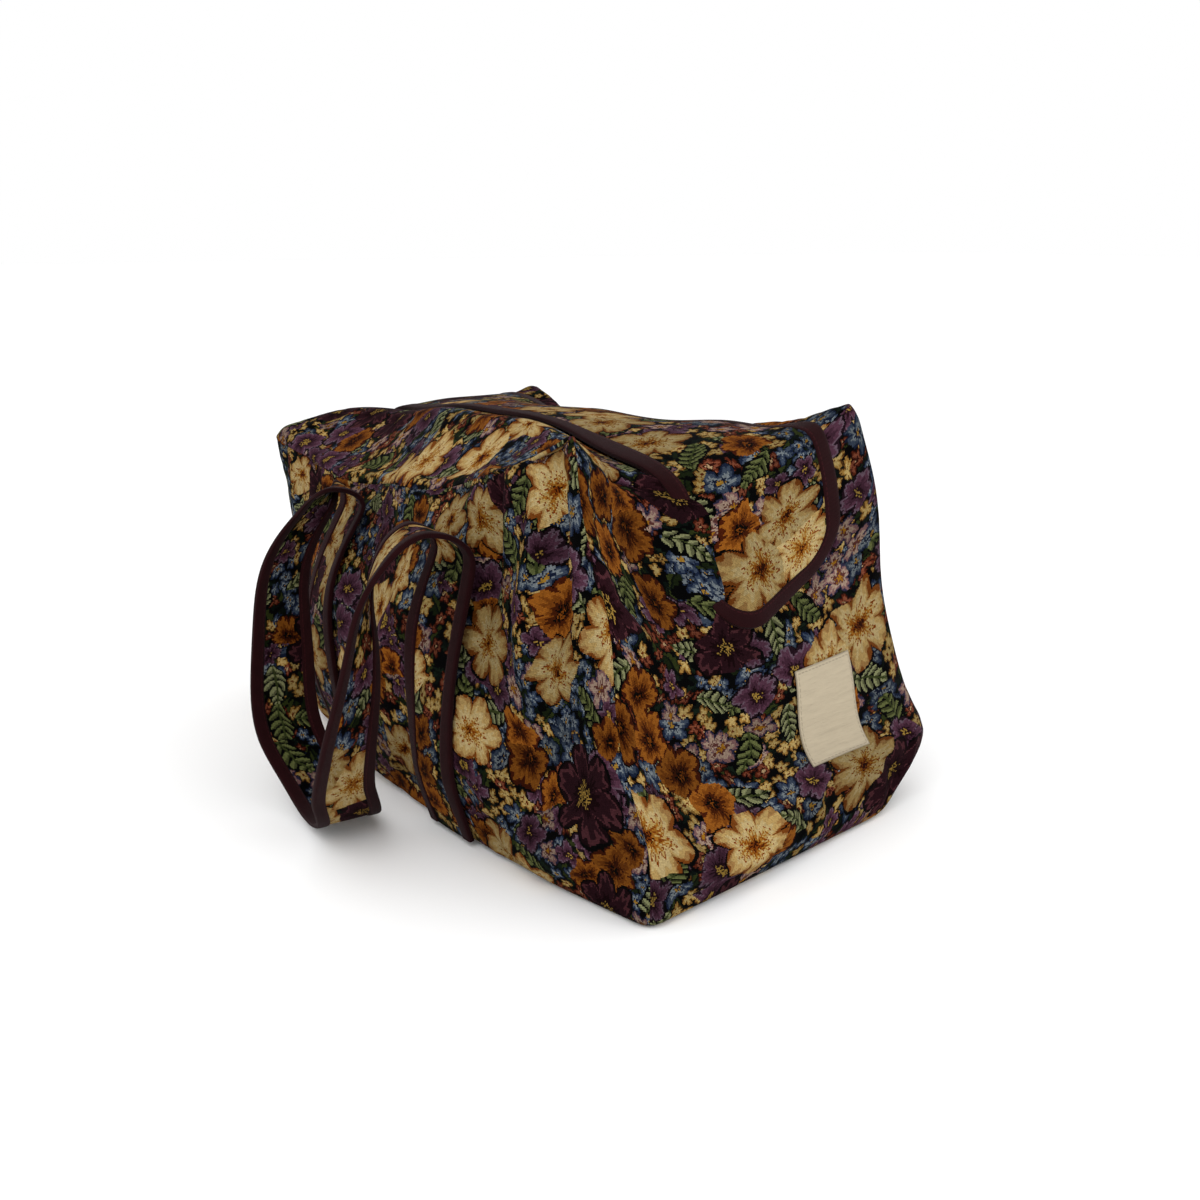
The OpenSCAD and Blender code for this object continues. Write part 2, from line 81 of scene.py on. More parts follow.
@dataclass(frozen=True)
class BagSizes:
    """Sizes of the bag in millimetres, the same as in the part's source; pairs are a place and a width."""

    length: float = 500.0
    width: float = 212.0
    turn_deg: float = 30.0
    cloth: float = 2.4
    front_right: float = 281.0
    back_right: float = 281.0
    front_left: float = 224.0
    back_left: float = 258.0
    front_sag: float = 38.0
    back_sag: float = 30.0
    right_lean: float = 60.0
    left_lean: float = 2.0
    lean_power: float = 1.4
    front_lean: float = 24.0
    side_swell: float = 20.0
    end_swell: float = 10.0
    crease_depth: float = 24.0
    crease_across: Pair = (-0.36, 0.26)
    low_corner_swell: float = 60.0
    low_corner_along: Pair = (0.86, 0.3)
    low_corner_up: Pair = (0.12, 0.14)
    right_swell: float = 54.0
    right_swell_along: Pair = (1.0, 0.55)
    left_flare: float = 22.0
    front_crown: float = 30.0
    back_crown: float = 12.0
    crown_skew: float = 1.4
    crown_power: float = 1.2
    mouth: float = 235.0
    mouth_gap: float = 15.0
    zip_back: float = 22.0
    end_room: float = 1.2
    end_pull: int = 8
    top_length_share: float = 0.9
    top_reach: float = 105.0
    flap_w: float = 92.0
    flap_back: float = 30.0
    flap_right_tip: float = 144.0
    flap_skew: float = 34.0
    flap_left_tip: float = 150.0
    flap_tip_r: float = 28.0
    flap_arch: float = 4.0
    flap_end_rise: float = 14.0
    flap_lift: float = 2.7
    flap_tuck: float = 10.0
    flap_lap: float = 1.4
    strap_w: float = 46.0
    strap_lap: float = 1.6
    leg_spacing: float = 166.0
    leg_top: float = 196.0
    leg_bottom: float = 5.0
    leg_lift: float = 0.9
    binding_w: float = 9.0
    binding_t: float = 3.8
    binding_gap: float = 0.4
    label_w: float = 57.0
    label_h: float = 65.0
    label_t: float = 1.0
    label_height: float = 88.0
    label_back: float = 44.0
    label_gap: float = 0.7
    seam_round: float = 12.0
    rim_round: float = 22.0
    base_round: float = 6.0


def hill(t: np.ndarray, at: float, wide: float) -> np.ndarray:
    """A smooth bump of height one at a place.

    Args:
        t: Places to look at.
        at: Middle of the bump.
        wide: Its width.

    Returns:
        The bump's height at each place.
    """
    return np.exp(-(((t - at) / wide) ** 2))


def wave(t: np.ndarray) -> np.ndarray:
    """One in the middle of -1 to 1 and zero at both ends."""
    return 1.0 - t * t


def mix(p: Any, q: Any, t: Any) -> Any:
    """The value a share t of the way from p to q."""
    return p + (q - p) * t


def unit(v: np.ndarray) -> np.ndarray:
    """Vectors scaled to length one."""
    return v / np.maximum(np.linalg.norm(v, axis=-1, keepdims=True), 1e-9)


def ramp_up(t: np.ndarray, start: float, reach: float) -> np.ndarray:
    """Zero up to a start, then rising to one over a reach."""
    return np.clip((t - start) / reach, 0, 1)


def run_along(points: np.ndarray) -> np.ndarray:
    """Length along a line of points, counted from the first."""
    return np.concatenate([[0], np.cumsum(np.linalg.norm(np.diff(points, axis=0), axis=1))])


def eased(points: np.ndarray, times: int) -> np.ndarray:
    """Rows of points smoothed along their run, with both ends kept.

    Args:
        points: Rows of points.
        times: How often they are smoothed.

    Returns:
        The smoothed points.
    """
    out = points.copy()
    for _ in range(times):
        out[1:-1] = (out[:-2] + 2 * out[1:-1] + out[2:]) / 4
    return out


def spread(cols: int, rows: int) -> Tuple[np.ndarray, np.ndarray]:
    """Places from 0 to 1 across and up a grid."""
    p, q = np.meshgrid(np.linspace(0, 1, cols), np.linspace(0, 1, rows))
    return p, q


def edge_share(p: np.ndarray, q: np.ndarray) -> np.ndarray:
    """Share of a grid between each place and its nearest edge."""
    return np.minimum(np.minimum(p, 1 - p), np.minimum(q, 1 - q))


@dataclass
class Skin:
    """The slumped outer face of the bag, as functions of places from -1 to 1 along, across and up."""

    size: BagSizes

    @property
    def half_l(self) -> float:
        """Half the bag's length."""
        return self.size.length / 2

    @property
    def half_w(self) -> float:
        """Half the bag's width."""
        return self.size.width / 2

    @property
    def radius(self) -> float:
        """Radius that the bag is turned about."""
        return self.size.length / math.radians(self.size.turn_deg)

    def turned(self, p: np.ndarray) -> np.ndarray:
        """Points of the straight bag, moved to the slumped bag.

        Args:
            p: Points in millimetres.

        Returns:
            The moved points.
        """
        f = p[..., 0] / self.radius
        reach = self.radius - p[..., 1]
        return np.stack([reach * np.sin(f), self.radius - reach * np.cos(f), p[..., 2]], axis=-1)

    def corner_z(self, a: np.ndarray, b: np.ndarray) -> np.ndarray:
        """Height between the four standing corners."""
        s, u = self.size, (1 + a) / 2
        return mix(mix(s.front_left, s.front_right, u), mix(s.back_left, s.back_right, u), (1 + b) / 2)

    def rim(self, a: np.ndarray, b: np.ndarray) -> np.ndarray:
        """Height of the rim above a place on the sides.

        Args:
            a: Places along, from -1 to 1.
            b: Places across, from -1 to 1.

        Returns:
            Heights in millimetres.
        """
        s, corner = self.size, self.corner_z(a, b)
        sag = np.where(b < 0, s.front_sag, s.back_sag)
        return corner - np.where(np.abs(b) > np.abs(a), sag * wave(a), (corner - s.mouth) * wave(b))

    def along(self, a: np.ndarray, b: np.ndarray, h: np.ndarray) -> np.ndarray:
        """Place along the straight bag.

        Args:
            a: Places along, from -1 to 1.
            b: Places across, from -1 to 1.
            h: Share of the height.

        Returns:
            Places in millimetres.
        """
        s = self.size
        return (
            a * self.half_l
            - s.right_lean * (1 + a) / 2 * h**s.lean_power
            + s.left_lean * (1 - a) / 2 * h
            + a * s.end_swell * wave(b) * np.sin(np.pi * h)
            - s.crease_depth * ((1 + a) / 2) ** 3 * hill(b, *s.crease_across) * h * h
        )

    def across(self, a: np.ndarray, b: np.ndarray, h: np.ndarray) -> np.ndarray:
        """Place across the straight bag.

        Args:
            a: Places along, from -1 to 1.
            b: Places across, from -1 to 1.
            h: Share of the height.

        Returns:
            Places in millimetres.
        """
        s = self.size
        return (
            b * self.half_w
            + b * s.side_swell * wave(a) * np.sin(np.pi * np.minimum(1, h * 1.05))
            + s.front_lean * (1 - b) / 2 * wave(a) * h**3
            + s.low_corner_swell * (1 + b) / 2 * hill(a, *s.low_corner_along) * hill(h, *s.low_corner_up)
            + s.right_swell * ((1 + b) / 2) ** 3 * hill(a, *s.right_swell_along) * (1 - (1 - h) ** 4)
            - s.left_flare * (1 - b) / 2 * ((1 - a) / 2) ** 3 * h * h
        )

    def rounding(self, gaps: Sequence[np.ndarray], upright: Any) -> List[np.ndarray]:
        """How far a point near an edge moves in from each face, so that edges are round.

        Args:
            gaps: Distances from the faces along, across and up.
            upright: Reach of the rounding up or down, which differs at the rim and the base.

        Returns:
            One inward move for each face.
        """
        reach = (self.size.seam_round, self.size.seam_round, upright)
        q = [np.clip(1 - g / r, 0, 1) for g, r in zip(gaps, reach)]
        length = np.sqrt(sum(x * x for x in q))
        share = 1 - 1 / np.maximum(length, 1)
        return [x * r * share for x, r in zip(q, reach)]

    def straight(self, a: np.ndarray, b: np.ndarray, h: np.ndarray, soft: bool = True) -> np.ndarray:
        """Points of the straight bag's sides, ends or base.

        Args:
            a: Places along.
            b: Places across.
            h: Share of the height.
            soft: Whether the edges are rounded.

        Returns:
            Points in millimetres.
        """
        rim = self.rim(a, b)
        z = h * rim
        p = np.stack([self.along(a, b, h), self.across(a, b, h), z], axis=-1)
        if soft:
            low = z < rim / 2
            gap = np.where(low, z, rim - z)
            move = self.rounding(
                ((1 - np.abs(a)) * self.half_l, (1 - np.abs(b)) * self.half_w, gap),
                np.where(low, self.size.base_round, self.size.rim_round),
            )
            p[..., 0] -= np.sign(a) * move[0]
            p[..., 1] -= np.sign(b) * move[1]
            p[..., 2] += np.where(low, move[2], -move[2])
        return p

    def side(self, a: np.ndarray, b: np.ndarray, h: np.ndarray, soft: bool = True) -> np.ndarray:
        """Points of the slumped bag's sides, ends or base."""
        return self.turned(self.straight(a, b, h, soft))

    def mouth_y(self, a: float, y: float) -> float:
        """Place across the straight bag of a straight line along the slumped one."""
        f = float(self.along(np.array(a), np.array(0.0), np.array(1.0))) / self.radius
        return self.radius - (self.radius - y) / math.cos(f)

    def mouth_b(self, a: float, y: float) -> float:
        """Place across a swollen end at which its rim meets a straight line along the bag.

        Args:
            a: The end, -1 or 1.
            y: Place of the line across the bag, in millimetres.

        Returns:
            The place from -1 to 1.
        """
        aim = self.mouth_y(a, y)
        b = aim / self.half_w
        for _ in range(6):
            b -= (float(self.across(np.array(a), np.array(b), np.array(1.0))) - aim) / self.half_w
        return b

    def end_rim_point(self, a: float, b: np.ndarray) -> np.ndarray:
        """Points of an end's rim, with sharp edges."""
        b = np.asarray(b, float)
        return self.side(np.full_like(b, a), b * JUST_INSIDE, np.ones_like(b), soft=False)

    def mouth_x(self, a: np.ndarray) -> np.ndarray:
        """Place along the straight mouth.

        Args:
            a: Places along, from -1 to 1.

        Returns:
            Places in millimetres.
        """
        s = self.size
        ends = []
        for end in (-1.0, 1.0):
            rim = self.end_rim_point(end, np.array(self.mouth_b(end, s.zip_back)))
            ends.append(rim[0] - end * (s.cloth + s.end_room))
        return mix(ends[0], ends[1], (1 + a) / 2)

    def ruled_top(self, a: np.ndarray, facing: int, t: np.ndarray) -> np.ndarray:
        """Straight rulings from a rim to the edge of the mouth.

        Args:
            a: Places along, from -1 to 1.
            facing: The long side that it belongs to.
            t: Places from the rim at 0 to the mouth at 1.

        Returns:
            Points in millimetres.
        """
        s = self.size
        rim = self.side(a, np.full_like(a, facing), np.ones_like(a), soft=False)
        y = np.full_like(a, s.zip_back + facing * s.mouth_gap / 2)
        edge = np.stack([self.mouth_x(a), y, np.full_like(a, s.mouth)], axis=-1)
        return mix(rim, edge, t[..., None])

    def top(self, a: np.ndarray, facing: int, t: np.ndarray, soft: bool = True) -> np.ndarray:
        """Points of a top panel.

        Args:
            a: Places along.
            facing: The long side that it belongs to.
            t: Places from the rim at 0 to the mouth at 1.
            soft: Whether the edges are rounded and meet the ends, as sewn cloth does.

        Returns:
            Points in millimetres.
        """
        s = self.size
        out = self.ruled_top(a, facing, t)
        weight = ((1 + np.abs(a)) / 2) ** s.end_pull
        room = 0.0 if soft else s.cloth + s.end_room
        for end in (-1.0, 1.0):
            here = np.sign(a) == end
            b = mix(facing, self.mouth_b(end, s.zip_back + facing * s.mouth_gap / 2), t)
            curve = self.end_rim_point(end, b)
            curve[..., 0] -= end * room * np.minimum(1, 6 * t + 0.35)
            pull = curve - self.ruled_top(np.full_like(a, end), facing, t)
            out = out + pull * (weight * here)[..., None]
        crown = s.front_crown if facing < 0 else s.back_crown
        out[..., 2] += crown * wave(a) * np.abs(np.sin(np.pi * t**s.crown_skew)) ** s.crown_power
        if soft:
            gaps = ((1 - np.abs(a)) * self.half_l * s.top_length_share, t * s.top_reach, np.zeros_like(t))
            move = self.rounding(gaps, s.rim_round)
            f = a * self.half_l / self.radius
            da, db = -np.sign(a) * move[0], -facing * move[1]
            out[..., 0] += da * np.cos(f) - db * np.sin(f)
            out[..., 1] += da * np.sin(f) + db * np.cos(f)
            out[..., 2] -= move[2]
        return out


def srgb(r: int, g: int, b: int) -> Colour:
    """A display colour from 0 to 255, as linear light.

    Args:
        r: Red.
        g: Green.
        b: Blue.

    Returns:
        The colour as linear light.
    """

    def one(v: int) -> float:
        """One channel as linear light."""
        c = v / 255.0
        return c / 12.92 if c <= 0.04045 else ((c + 0.055) / 1.055) ** 2.4

    return one(r), one(g), one(b)


@dataclass
class NodeMaker:
    """Adds shader nodes to a tree and hands back their output sockets."""

    tree: Any

    def put(self, socket: Any, value: Any) -> None:
        """Links a socket, or sets its value.

        Args:
            socket: The input.
            value: A socket to link, or a plain value.
        """
        if isinstance(value, bpy.types.NodeSocket):
            self.tree.links.new(value, socket)
        elif isinstance(value, (tuple, list)) and len(value) == 3 and len(socket.default_value) == 4:
            socket.default_value = (*value, 1.0)
        else:
            socket.default_value = value

    def add(self, kind: str, inputs: Dict[Any, Any], out: Any = 0, **settings: Any) -> Any:
        """Adds one node, sets it up and fills its inputs.

        Args:
            kind: The node's type, without the words that all types start with.
            inputs: Values or sockets by the input's name or number.
            out: Name or number of the output.
            settings: The node's own settings.

        Returns:
            The output socket.
        """
        node = self.tree.nodes.new(f"ShaderNode{kind}")
        for key, value in settings.items():
            setattr(node, key, value)
        for key, value in inputs.items():
            self.put(node.inputs[key], value)
        return node.outputs[out]

    def math(self, op: str, a: Any, b: Any = 0.0, c: Any = 0.0) -> Any:
        """One number operation."""
        return self.add("Math", {0: a, 1: b, 2: c}, operation=op)

    def vector(self, op: str, a: Any, b: Any = (0.0, 0.0, 0.0), out: int = 0) -> Any:
        """One vector operation."""
        return self.add("VectorMath", {0: a, "Scale" if op == "SCALE" else 1: b}, out, operation=op)

    def uv(self) -> Any:
        """The place on the cloth, in metres."""
        return self.add("UVMap", {})

    def split(self, v: Any) -> List[Any]:
        """The three parts of a vector."""
        return list(self.add("SeparateXYZ", {0: v}).node.outputs)

    def join(self, x: Any, y: Any, z: Any = 0.0) -> Any:
        """A vector from three parts."""
        return self.add("CombineXYZ", {0: x, 1: y, 2: z})

    def spun(self, v: Any, share: Any) -> List[Any]:
        """The parts of a vector turned about Z by a share of a full turn."""
        angle = self.math("MULTIPLY", share, FULL_TURN)
        return self.split(self.add("VectorRotate", {"Vector": v, "Angle": angle}, rotation_type="Z_AXIS"))

    def noise(self, v: Any, scale: float, detail: float = 2.0, out: Any = 0) -> Any:
        """Soft noise from 0 to 1 in two dimensions."""
        inputs = {"Vector": v, "Scale": scale, "Detail": detail}
        return self.add("TexNoise", inputs, out, noise_dimensions="2D")

    def white(self, v: Any) -> Any:
        """A random number for each place."""
        return self.add("TexWhiteNoise", {"Vector": v}, "Value", noise_dimensions="2D")

    def cells(self, v: Any, pitch: float, scatter: float) -> Tuple[Any, List[Any]]:
        """Scattered cells: the vector from each cell's middle, and three random numbers for the cell.

        Args:
            v: Place to look up.
            pitch: Size of a cell.
            scatter: How far middles stray, from 0 to 1.

        Returns:
            The vector, and the three numbers.
        """
        node = self.tree.nodes.new("ShaderNodeTexVoronoi")
        node.voronoi_dimensions = "2D"
        node.feature = "F1"
        self.put(node.inputs["Vector"], v)
        node.inputs["Scale"].default_value = 1.0 / pitch
        node.inputs["Randomness"].default_value = scatter
        node.inputs["Detail"].default_value = 0.0
        local = self.vector("SUBTRACT", v, node.outputs["Position"])
        return local, self.split(node.outputs["Color"])

    def ramp(self, value: Any, stops: Sequence[Tuple[float, Colour]]) -> Any:
        """Flat bands of colour along a value.

        Args:
            value: Place along the bands.
            stops: Start and colour of each band.

        Returns:
            The colour.
        """
        node = self.tree.nodes.new("ShaderNodeValToRGB")
        ramp = node.color_ramp
        ramp.interpolation = "CONSTANT"
        while len(ramp.elements) < len(stops):
            ramp.elements.new(1.0)
        for element, (place, colour) in zip(ramp.elements, stops):
            element.position = place
            element.color = (*colour, 1.0)
        self.put(node.inputs[0], value)
        return node.outputs[0]

    def blend(self, share: Any, a: Any, b: Any) -> Any:
        """One colour laid over another."""
        return self.add("Mix", {0: share, 6: a, 7: b}, 2, data_type="RGBA")

    def gamma(self, colour: Any, power: float) -> Any:
        """A colour with more contrast."""
        return self.add("Gamma", {"Color": colour, "Gamma": power})

    def stitches(self, off: Any, half: float, run: Any, step: float, share: float) -> Any:
        """A dashed line of stitches.

        Args:
            off: Distance from the line.
            half: Half the thread's width.
            run: Length along the line.
            step: Length of a stitch and its gap.
            share: Share of the step that shows thread.

        Returns:
            One on the thread and zero elsewhere.
        """
        line = self.math("LESS_THAN", self.math("ABSOLUTE", off), half)
        dash = self.math("LESS_THAN", self.math("FRACT", self.math("DIVIDE", run, step)), share)
        return self.math("MULTIPLY", line, dash)

    def bump(self, shader: Any, height: Any, strength: float, distance: float) -> None:
        """Raises a shader's surface by a height."""
        inputs = {"Strength": strength, "Distance": distance, "Height": height}
        self.put(shader.inputs["Normal"], self.add("Bump", inputs))


LOOK_INPUTS = {
    "colour": "Base Color",
    "roughness": "Roughness",
    "shine": "Specular IOR Level",
    "sheen": "Sheen Weight",
    "metallic": "Metallic",
}


def start_material(name: str, **look: Any) -> Tuple[Any, NodeMaker, Any]:
    """A new material with its node maker and its main shader, set to a look.

    Args:
        name: Name of the material.
        look: Values for the shader, by the words of LOOK_INPUTS.

    Returns:
        The material, the maker and the shader.
    """
    material = bpy.data.materials.new(name)
    material.use_nodes = True
    nm = NodeMaker(material.node_tree)
    shader = material.node_tree.nodes["Principled BSDF"]
    for key, value in look.items():
        nm.put(shader.inputs[LOOK_INPUTS[key]], value)
    return material, nm, shader


def tones(*stops: Tuple[int, int, int, int]) -> List[Tuple[float, Colour]]:
    """Bands of a petal from its middle to its tip: a place in percent of its reach, then a display colour."""
    return [(place / 100, srgb(r, g, b)) for place, r, g, b in stops]


PETAL_TONES: Dict[Kind, List[Tuple[float, Colour]]] = {
    Kind.DAFFODIL: tones(
        (0, 74, 34, 16), (10, 150, 84, 26), (19, 186, 132, 56), (30, 214, 186, 126), (40, 160, 88, 34),
        (45, 222, 200, 150), (66, 212, 182, 124), (86, 188, 150, 98), (100, 150, 92, 40),
    ),
    Kind.PANSY: tones(
        (0, 30, 18, 24), (9, 190, 158, 84), (21, 56, 30, 40), (40, 92, 60, 76), (62, 114, 78, 96),
        (86, 134, 112, 126), (98, 58, 36, 48),
    ),
    Kind.PLUM: tones(
        (0, 24, 14, 16), (10, 186, 154, 84), (20, 46, 20, 26), (46, 66, 36, 44), (82, 108, 66, 72),
        (95, 48, 24, 30),
    ),
    Kind.POPPY: tones(
        (0, 150, 90, 30), (9, 22, 16, 12), (22, 92, 46, 18), (42, 148, 90, 34), (64, 178, 116, 48),
        (92, 98, 46, 22),
    ),
    Kind.BLUE: tones(
        (0, 184, 146, 66), (22, 40, 50, 76), (38, 150, 158, 162), (60, 86, 98, 116), (88, 44, 56, 82)
    ),
    Kind.PINK: tones(
        (0, 190, 140, 50), (22, 120, 76, 70), (42, 196, 172, 154), (70, 160, 124, 122), (92, 70, 66, 92)
    ),
    Kind.CREAM: tones((0, 134, 72, 28), (26, 216, 190, 130), (68, 190, 152, 86), (92, 116, 82, 42)),
    Kind.RUST: tones(
        (0, 206, 178, 140), (22, 76, 32, 22), (42, 158, 98, 74), (70, 118, 58, 36), (92, 62, 26, 20)
    ),
}


@dataclass(frozen=True)
class FlowerLayer:
    """One layer of scattered flowers of like size, in metres."""

    pitch: float
    radius: float
    petals: int
    scatter: float
    shift: float
    kinds: Tuple[Kind, ...]
    share: float
    grouping: float
    pointed: float = 0.7
    deep: float = 0.45


@dataclass(frozen=True)
class LeafLayer:
    """One layer of scattered lobed leaves in two tones, in metres."""

    pitch: float
    length: float
    wide: float
    shift: float
    light: Colour
    dark: Colour


@dataclass(frozen=True)
class Sprig:
    """Sizes in metres and tones of the pale sprigs, with leaflets in pairs along a wavy stem."""

    pitch: float = 0.031
    scatter: float = 0.8
    half: float = 0.0150
    side: float = 0.0075
    step: float = 0.0052
    stem: float = 0.0006
    bend: Pair = (130.0, 0.0016)
    slant: float = 0.75
    plump: float = 0.40
    share: float = 0.5
    pale: Colour = srgb(172, 174, 132)
    sage: Colour = srgb(134, 140, 92)
    stalk: Colour = srgb(84, 92, 54)
    ground: Colour = srgb(12, 14, 13)


@dataclass(frozen=True)
class ClothFinish:
    """A woven cloth of one colour with stitching along its edge."""

    name: str
    colour: Colour
    roughness: float = 0.85
    sheen: float = 0.03
    stitch: float = 0.0
    twill: float = 0.0009

    def make(self) -> Any:
        """The material with a fine twill, uneven dye and a line of stitches.

        Returns:
            The material.
        """
        look = {"roughness": self.roughness, "shine": 0.03, "sheen": self.sheen}
        material, nm, shader = start_material(self.name, **look)
        uv = nm.uv()
        u, v, _ = nm.split(uv)
        twill = nm.math("SINE", nm.math("MULTIPLY", nm.math("ADD", u, v), 2 * math.pi / self.twill))
        tone = nm.math("MULTIPLY_ADD", nm.noise(uv, 160.0, 3.0), 0.5, 0.75)
        tone = nm.math("MULTIPLY", tone, nm.math("MULTIPLY_ADD", twill, 0.12, 1.0))
        thread = nm.stitches(nm.math("SUBTRACT", u, self.stitch), 0.0003, v, 0.0034, 0.68)
        tone = nm.math("MULTIPLY_ADD", thread, 0.9, tone)
        nm.put(shader.inputs["Base Color"], nm.vector("SCALE", nm.join(*self.colour), tone))
        nm.bump(shader, twill, 0.35, 0.0003)
        return material


@dataclass(frozen=True)
class LabelFinish:
    """A crinkled cream patch with a stitched border, darker in a thin band along its edge, in metres."""

    name: str
    colour: Colour
    width: float
    height: float
    border: float = 0.0022
    # width of the thin band along the edge that is darkened
    edge_band: float = 0.0008

    def make(self) -> Any:
        """The patch's material.

        Returns:
            The material.
        """
        material, nm, shader = start_material(self.name, roughness=0.9, shine=0.2)
        u, v, _ = nm.split(nm.uv())
        sides = nm.math("MINIMUM", u, nm.math("SUBTRACT", self.width, u))
        edge = nm.math("MINIMUM", sides, nm.math("MINIMUM", v, nm.math("SUBTRACT", self.height, v)))
        off = nm.math("SUBTRACT", edge, self.border)
        thread = nm.stitches(off, 0.00035, nm.math("ADD", u, v), 0.0036, 0.66)
        # the patch is darkened within a thin band along its edge
        edge_band = nm.math("LESS_THAN", edge, self.edge_band)
        crinkle = nm.noise(nm.join(nm.math("MULTIPLY", u, 60.0), nm.math("MULTIPLY", v, 340.0)), 1.0, 2.0)
        tone = nm.math("MULTIPLY_ADD", crinkle, 0.16, 0.92)
        tone = nm.math("MULTIPLY_ADD", thread, -0.28, tone)
        tone = nm.math("MULTIPLY_ADD", edge_band, -0.22, tone)
        nm.put(shader.inputs["Base Color"], nm.vector("SCALE", nm.join(*self.colour), tone))
        nm.bump(shader, nm.math("MULTIPLY_ADD", thread, 0.3, crinkle), 0.7, 0.0012)
        return material


@dataclass(frozen=True)
class MetalFinish:
    """A plain metal."""

    name: str
    colour: Colour
    roughness: float

    def make(self) -> Any:
        """The metal material."""
        return start_material(self.name, colour=self.colour, metallic=1.0, roughness=self.roughness)[0]


@dataclass(frozen=True)
class TapestryFinish:
    """A dense floral tapestry on a black ground, woven in ribs."""

    name: str
    thread: float = 0.0009
    pick_share: float = 0.75
    drift: Pair = (60.0, 0.5)
    wander: float = 0.0085
    depth: float = 0.47
    contrast: float = 1.22
    grain: Pair = (0.34, 0.80)
    rib_shade: Pair = (0.10, 0.94)
    flower_size: Pair = (0.35, 0.82)
    flower_tone: Pair = (0.5, 0.72)
    outline: float = 1.07
    black: Colour = srgb(11, 10, 12)
    outline_tone: Colour = srgb(16, 13, 14)
    vein_tone: Colour = srgb(24, 32, 24)
    leaves: Tuple[LeafLayer, ...] = (
        LeafLayer(0.0150, 0.0092, 0.0032, 5.13, srgb(38, 52, 40), srgb(24, 36, 30)),
        LeafLayer(0.0190, 0.0120, 0.0038, 6.71, srgb(72, 80, 42), srgb(44, 54, 30)),
    )
    sprig: Sprig = Sprig()
    small: Tuple[FlowerLayer, ...] = (
        FlowerLayer(
            0.0094, 0.0054, 5, 0.85, 0.31, (Kind.CREAM, Kind.RUST, Kind.CREAM, Kind.BLUE), 0.84, 13.0
        ),
        FlowerLayer(0.0175, 0.0102, 5, 0.80, 1.73, (Kind.BLUE, Kind.PINK, Kind.PANSY, Kind.BLUE), 0.52, 11.0),
    )
    large: Tuple[FlowerLayer, ...] = (
        FlowerLayer(
            0.0270, 0.0160, 5, 0.80, 2.91,
            (Kind.POPPY, Kind.PANSY, Kind.POPPY, Kind.PANSY), 0.42, 8.0, 0.4, 0.30,
        ),
        FlowerLayer(
            0.0450, 0.0262, 6, 0.75, 4.37,
            (Kind.DAFFODIL, Kind.PLUM, Kind.DAFFODIL, Kind.DAFFODIL), 0.46, 6.0, 0.6, 0.38,
        ),
    )

    def make(self) -> Any:
        """The tapestry material.

        Returns:
            The material.
        """
        material, nm, shader = start_material(self.name, roughness=0.95, shine=0.03)
        u, v, _ = nm.split(nm.uv())
        pick = self.thread * self.pick_share
        ribs = nm.math("DIVIDE", v, self.thread)
        snapped = nm.join(
            nm.math("MULTIPLY", nm.math("FLOOR", nm.math("DIVIDE", u, pick)), pick),
            nm.math("MULTIPLY", nm.math("FLOOR", ribs), self.thread),
        )
        drift = nm.vector("SUBTRACT", nm.noise(snapped, *self.drift, out="Color"), (0.5, 0.5, 0.5))
        place = nm.vector("ADD", snapped, nm.vector("SCALE", drift, self.wander))
        colour = self.ground(nm, place)
        for layer in self.small:
            colour = self.flowers(nm, place, layer, colour)
        colour = self.sprigs(nm, place, colour)
        for layer in self.large:
            colour = self.flowers(nm, place, layer, colour)
        speck = nm.white(place)
        rib = nm.math("SINE", nm.math("MULTIPLY", ribs, 2 * math.pi))
        shade = nm.math("MULTIPLY", nm.math("MULTIPLY_ADD", speck, *self.grain), self.depth)
        shade = nm.math("MULTIPLY", shade, nm.math("MULTIPLY_ADD", rib, *self.rib_shade))
        colour = nm.gamma(colour, self.contrast)
        nm.put(shader.inputs["Base Color"], nm.vector("SCALE", colour, shade))
        nm.bump(shader, nm.math("ADD", rib, speck), 0.4, 0.0004)
        return material

    def ground(self, nm: NodeMaker, uv: Any) -> Any:
        """The black ground with leaves in several greens.

        Args:
            nm: Maker for the tree.
            uv: Snapped place on the cloth.

        Returns:
            The colour.
        """
        colour: Any = nm.join(*self.black)
        for leaf in self.leaves:
            local, rnd = nm.cells(nm.vector("ADD", uv, (leaf.shift, leaf.shift * 1.3, 0.0)), leaf.pitch, 0.9)
            x, y, _ = nm.spun(local, rnd[0])
            x = nm.math("DIVIDE", x, leaf.length)
            off = nm.math("ABSOLUTE", y)
            taper = nm.math("SUBTRACT", 1.0, nm.math("MULTIPLY", x, x))
            lobes = nm.math("ABSOLUTE", nm.math("SINE", nm.math("MULTIPLY", x, 9.0)))
            lobes = nm.math("MULTIPLY_ADD", lobes, 0.45, 0.7)
            edge = nm.math("MULTIPLY", nm.math("MULTIPLY", taper, lobes), leaf.wide)
            tone = nm.blend(nm.math("GREATER_THAN", y, 0.0), leaf.dark, leaf.light)
            tone = nm.blend(nm.math("LESS_THAN", off, leaf.wide * 0.16), tone, self.vein_tone)
            colour = nm.blend(nm.math("LESS_THAN", off, edge), colour, tone)
        return colour

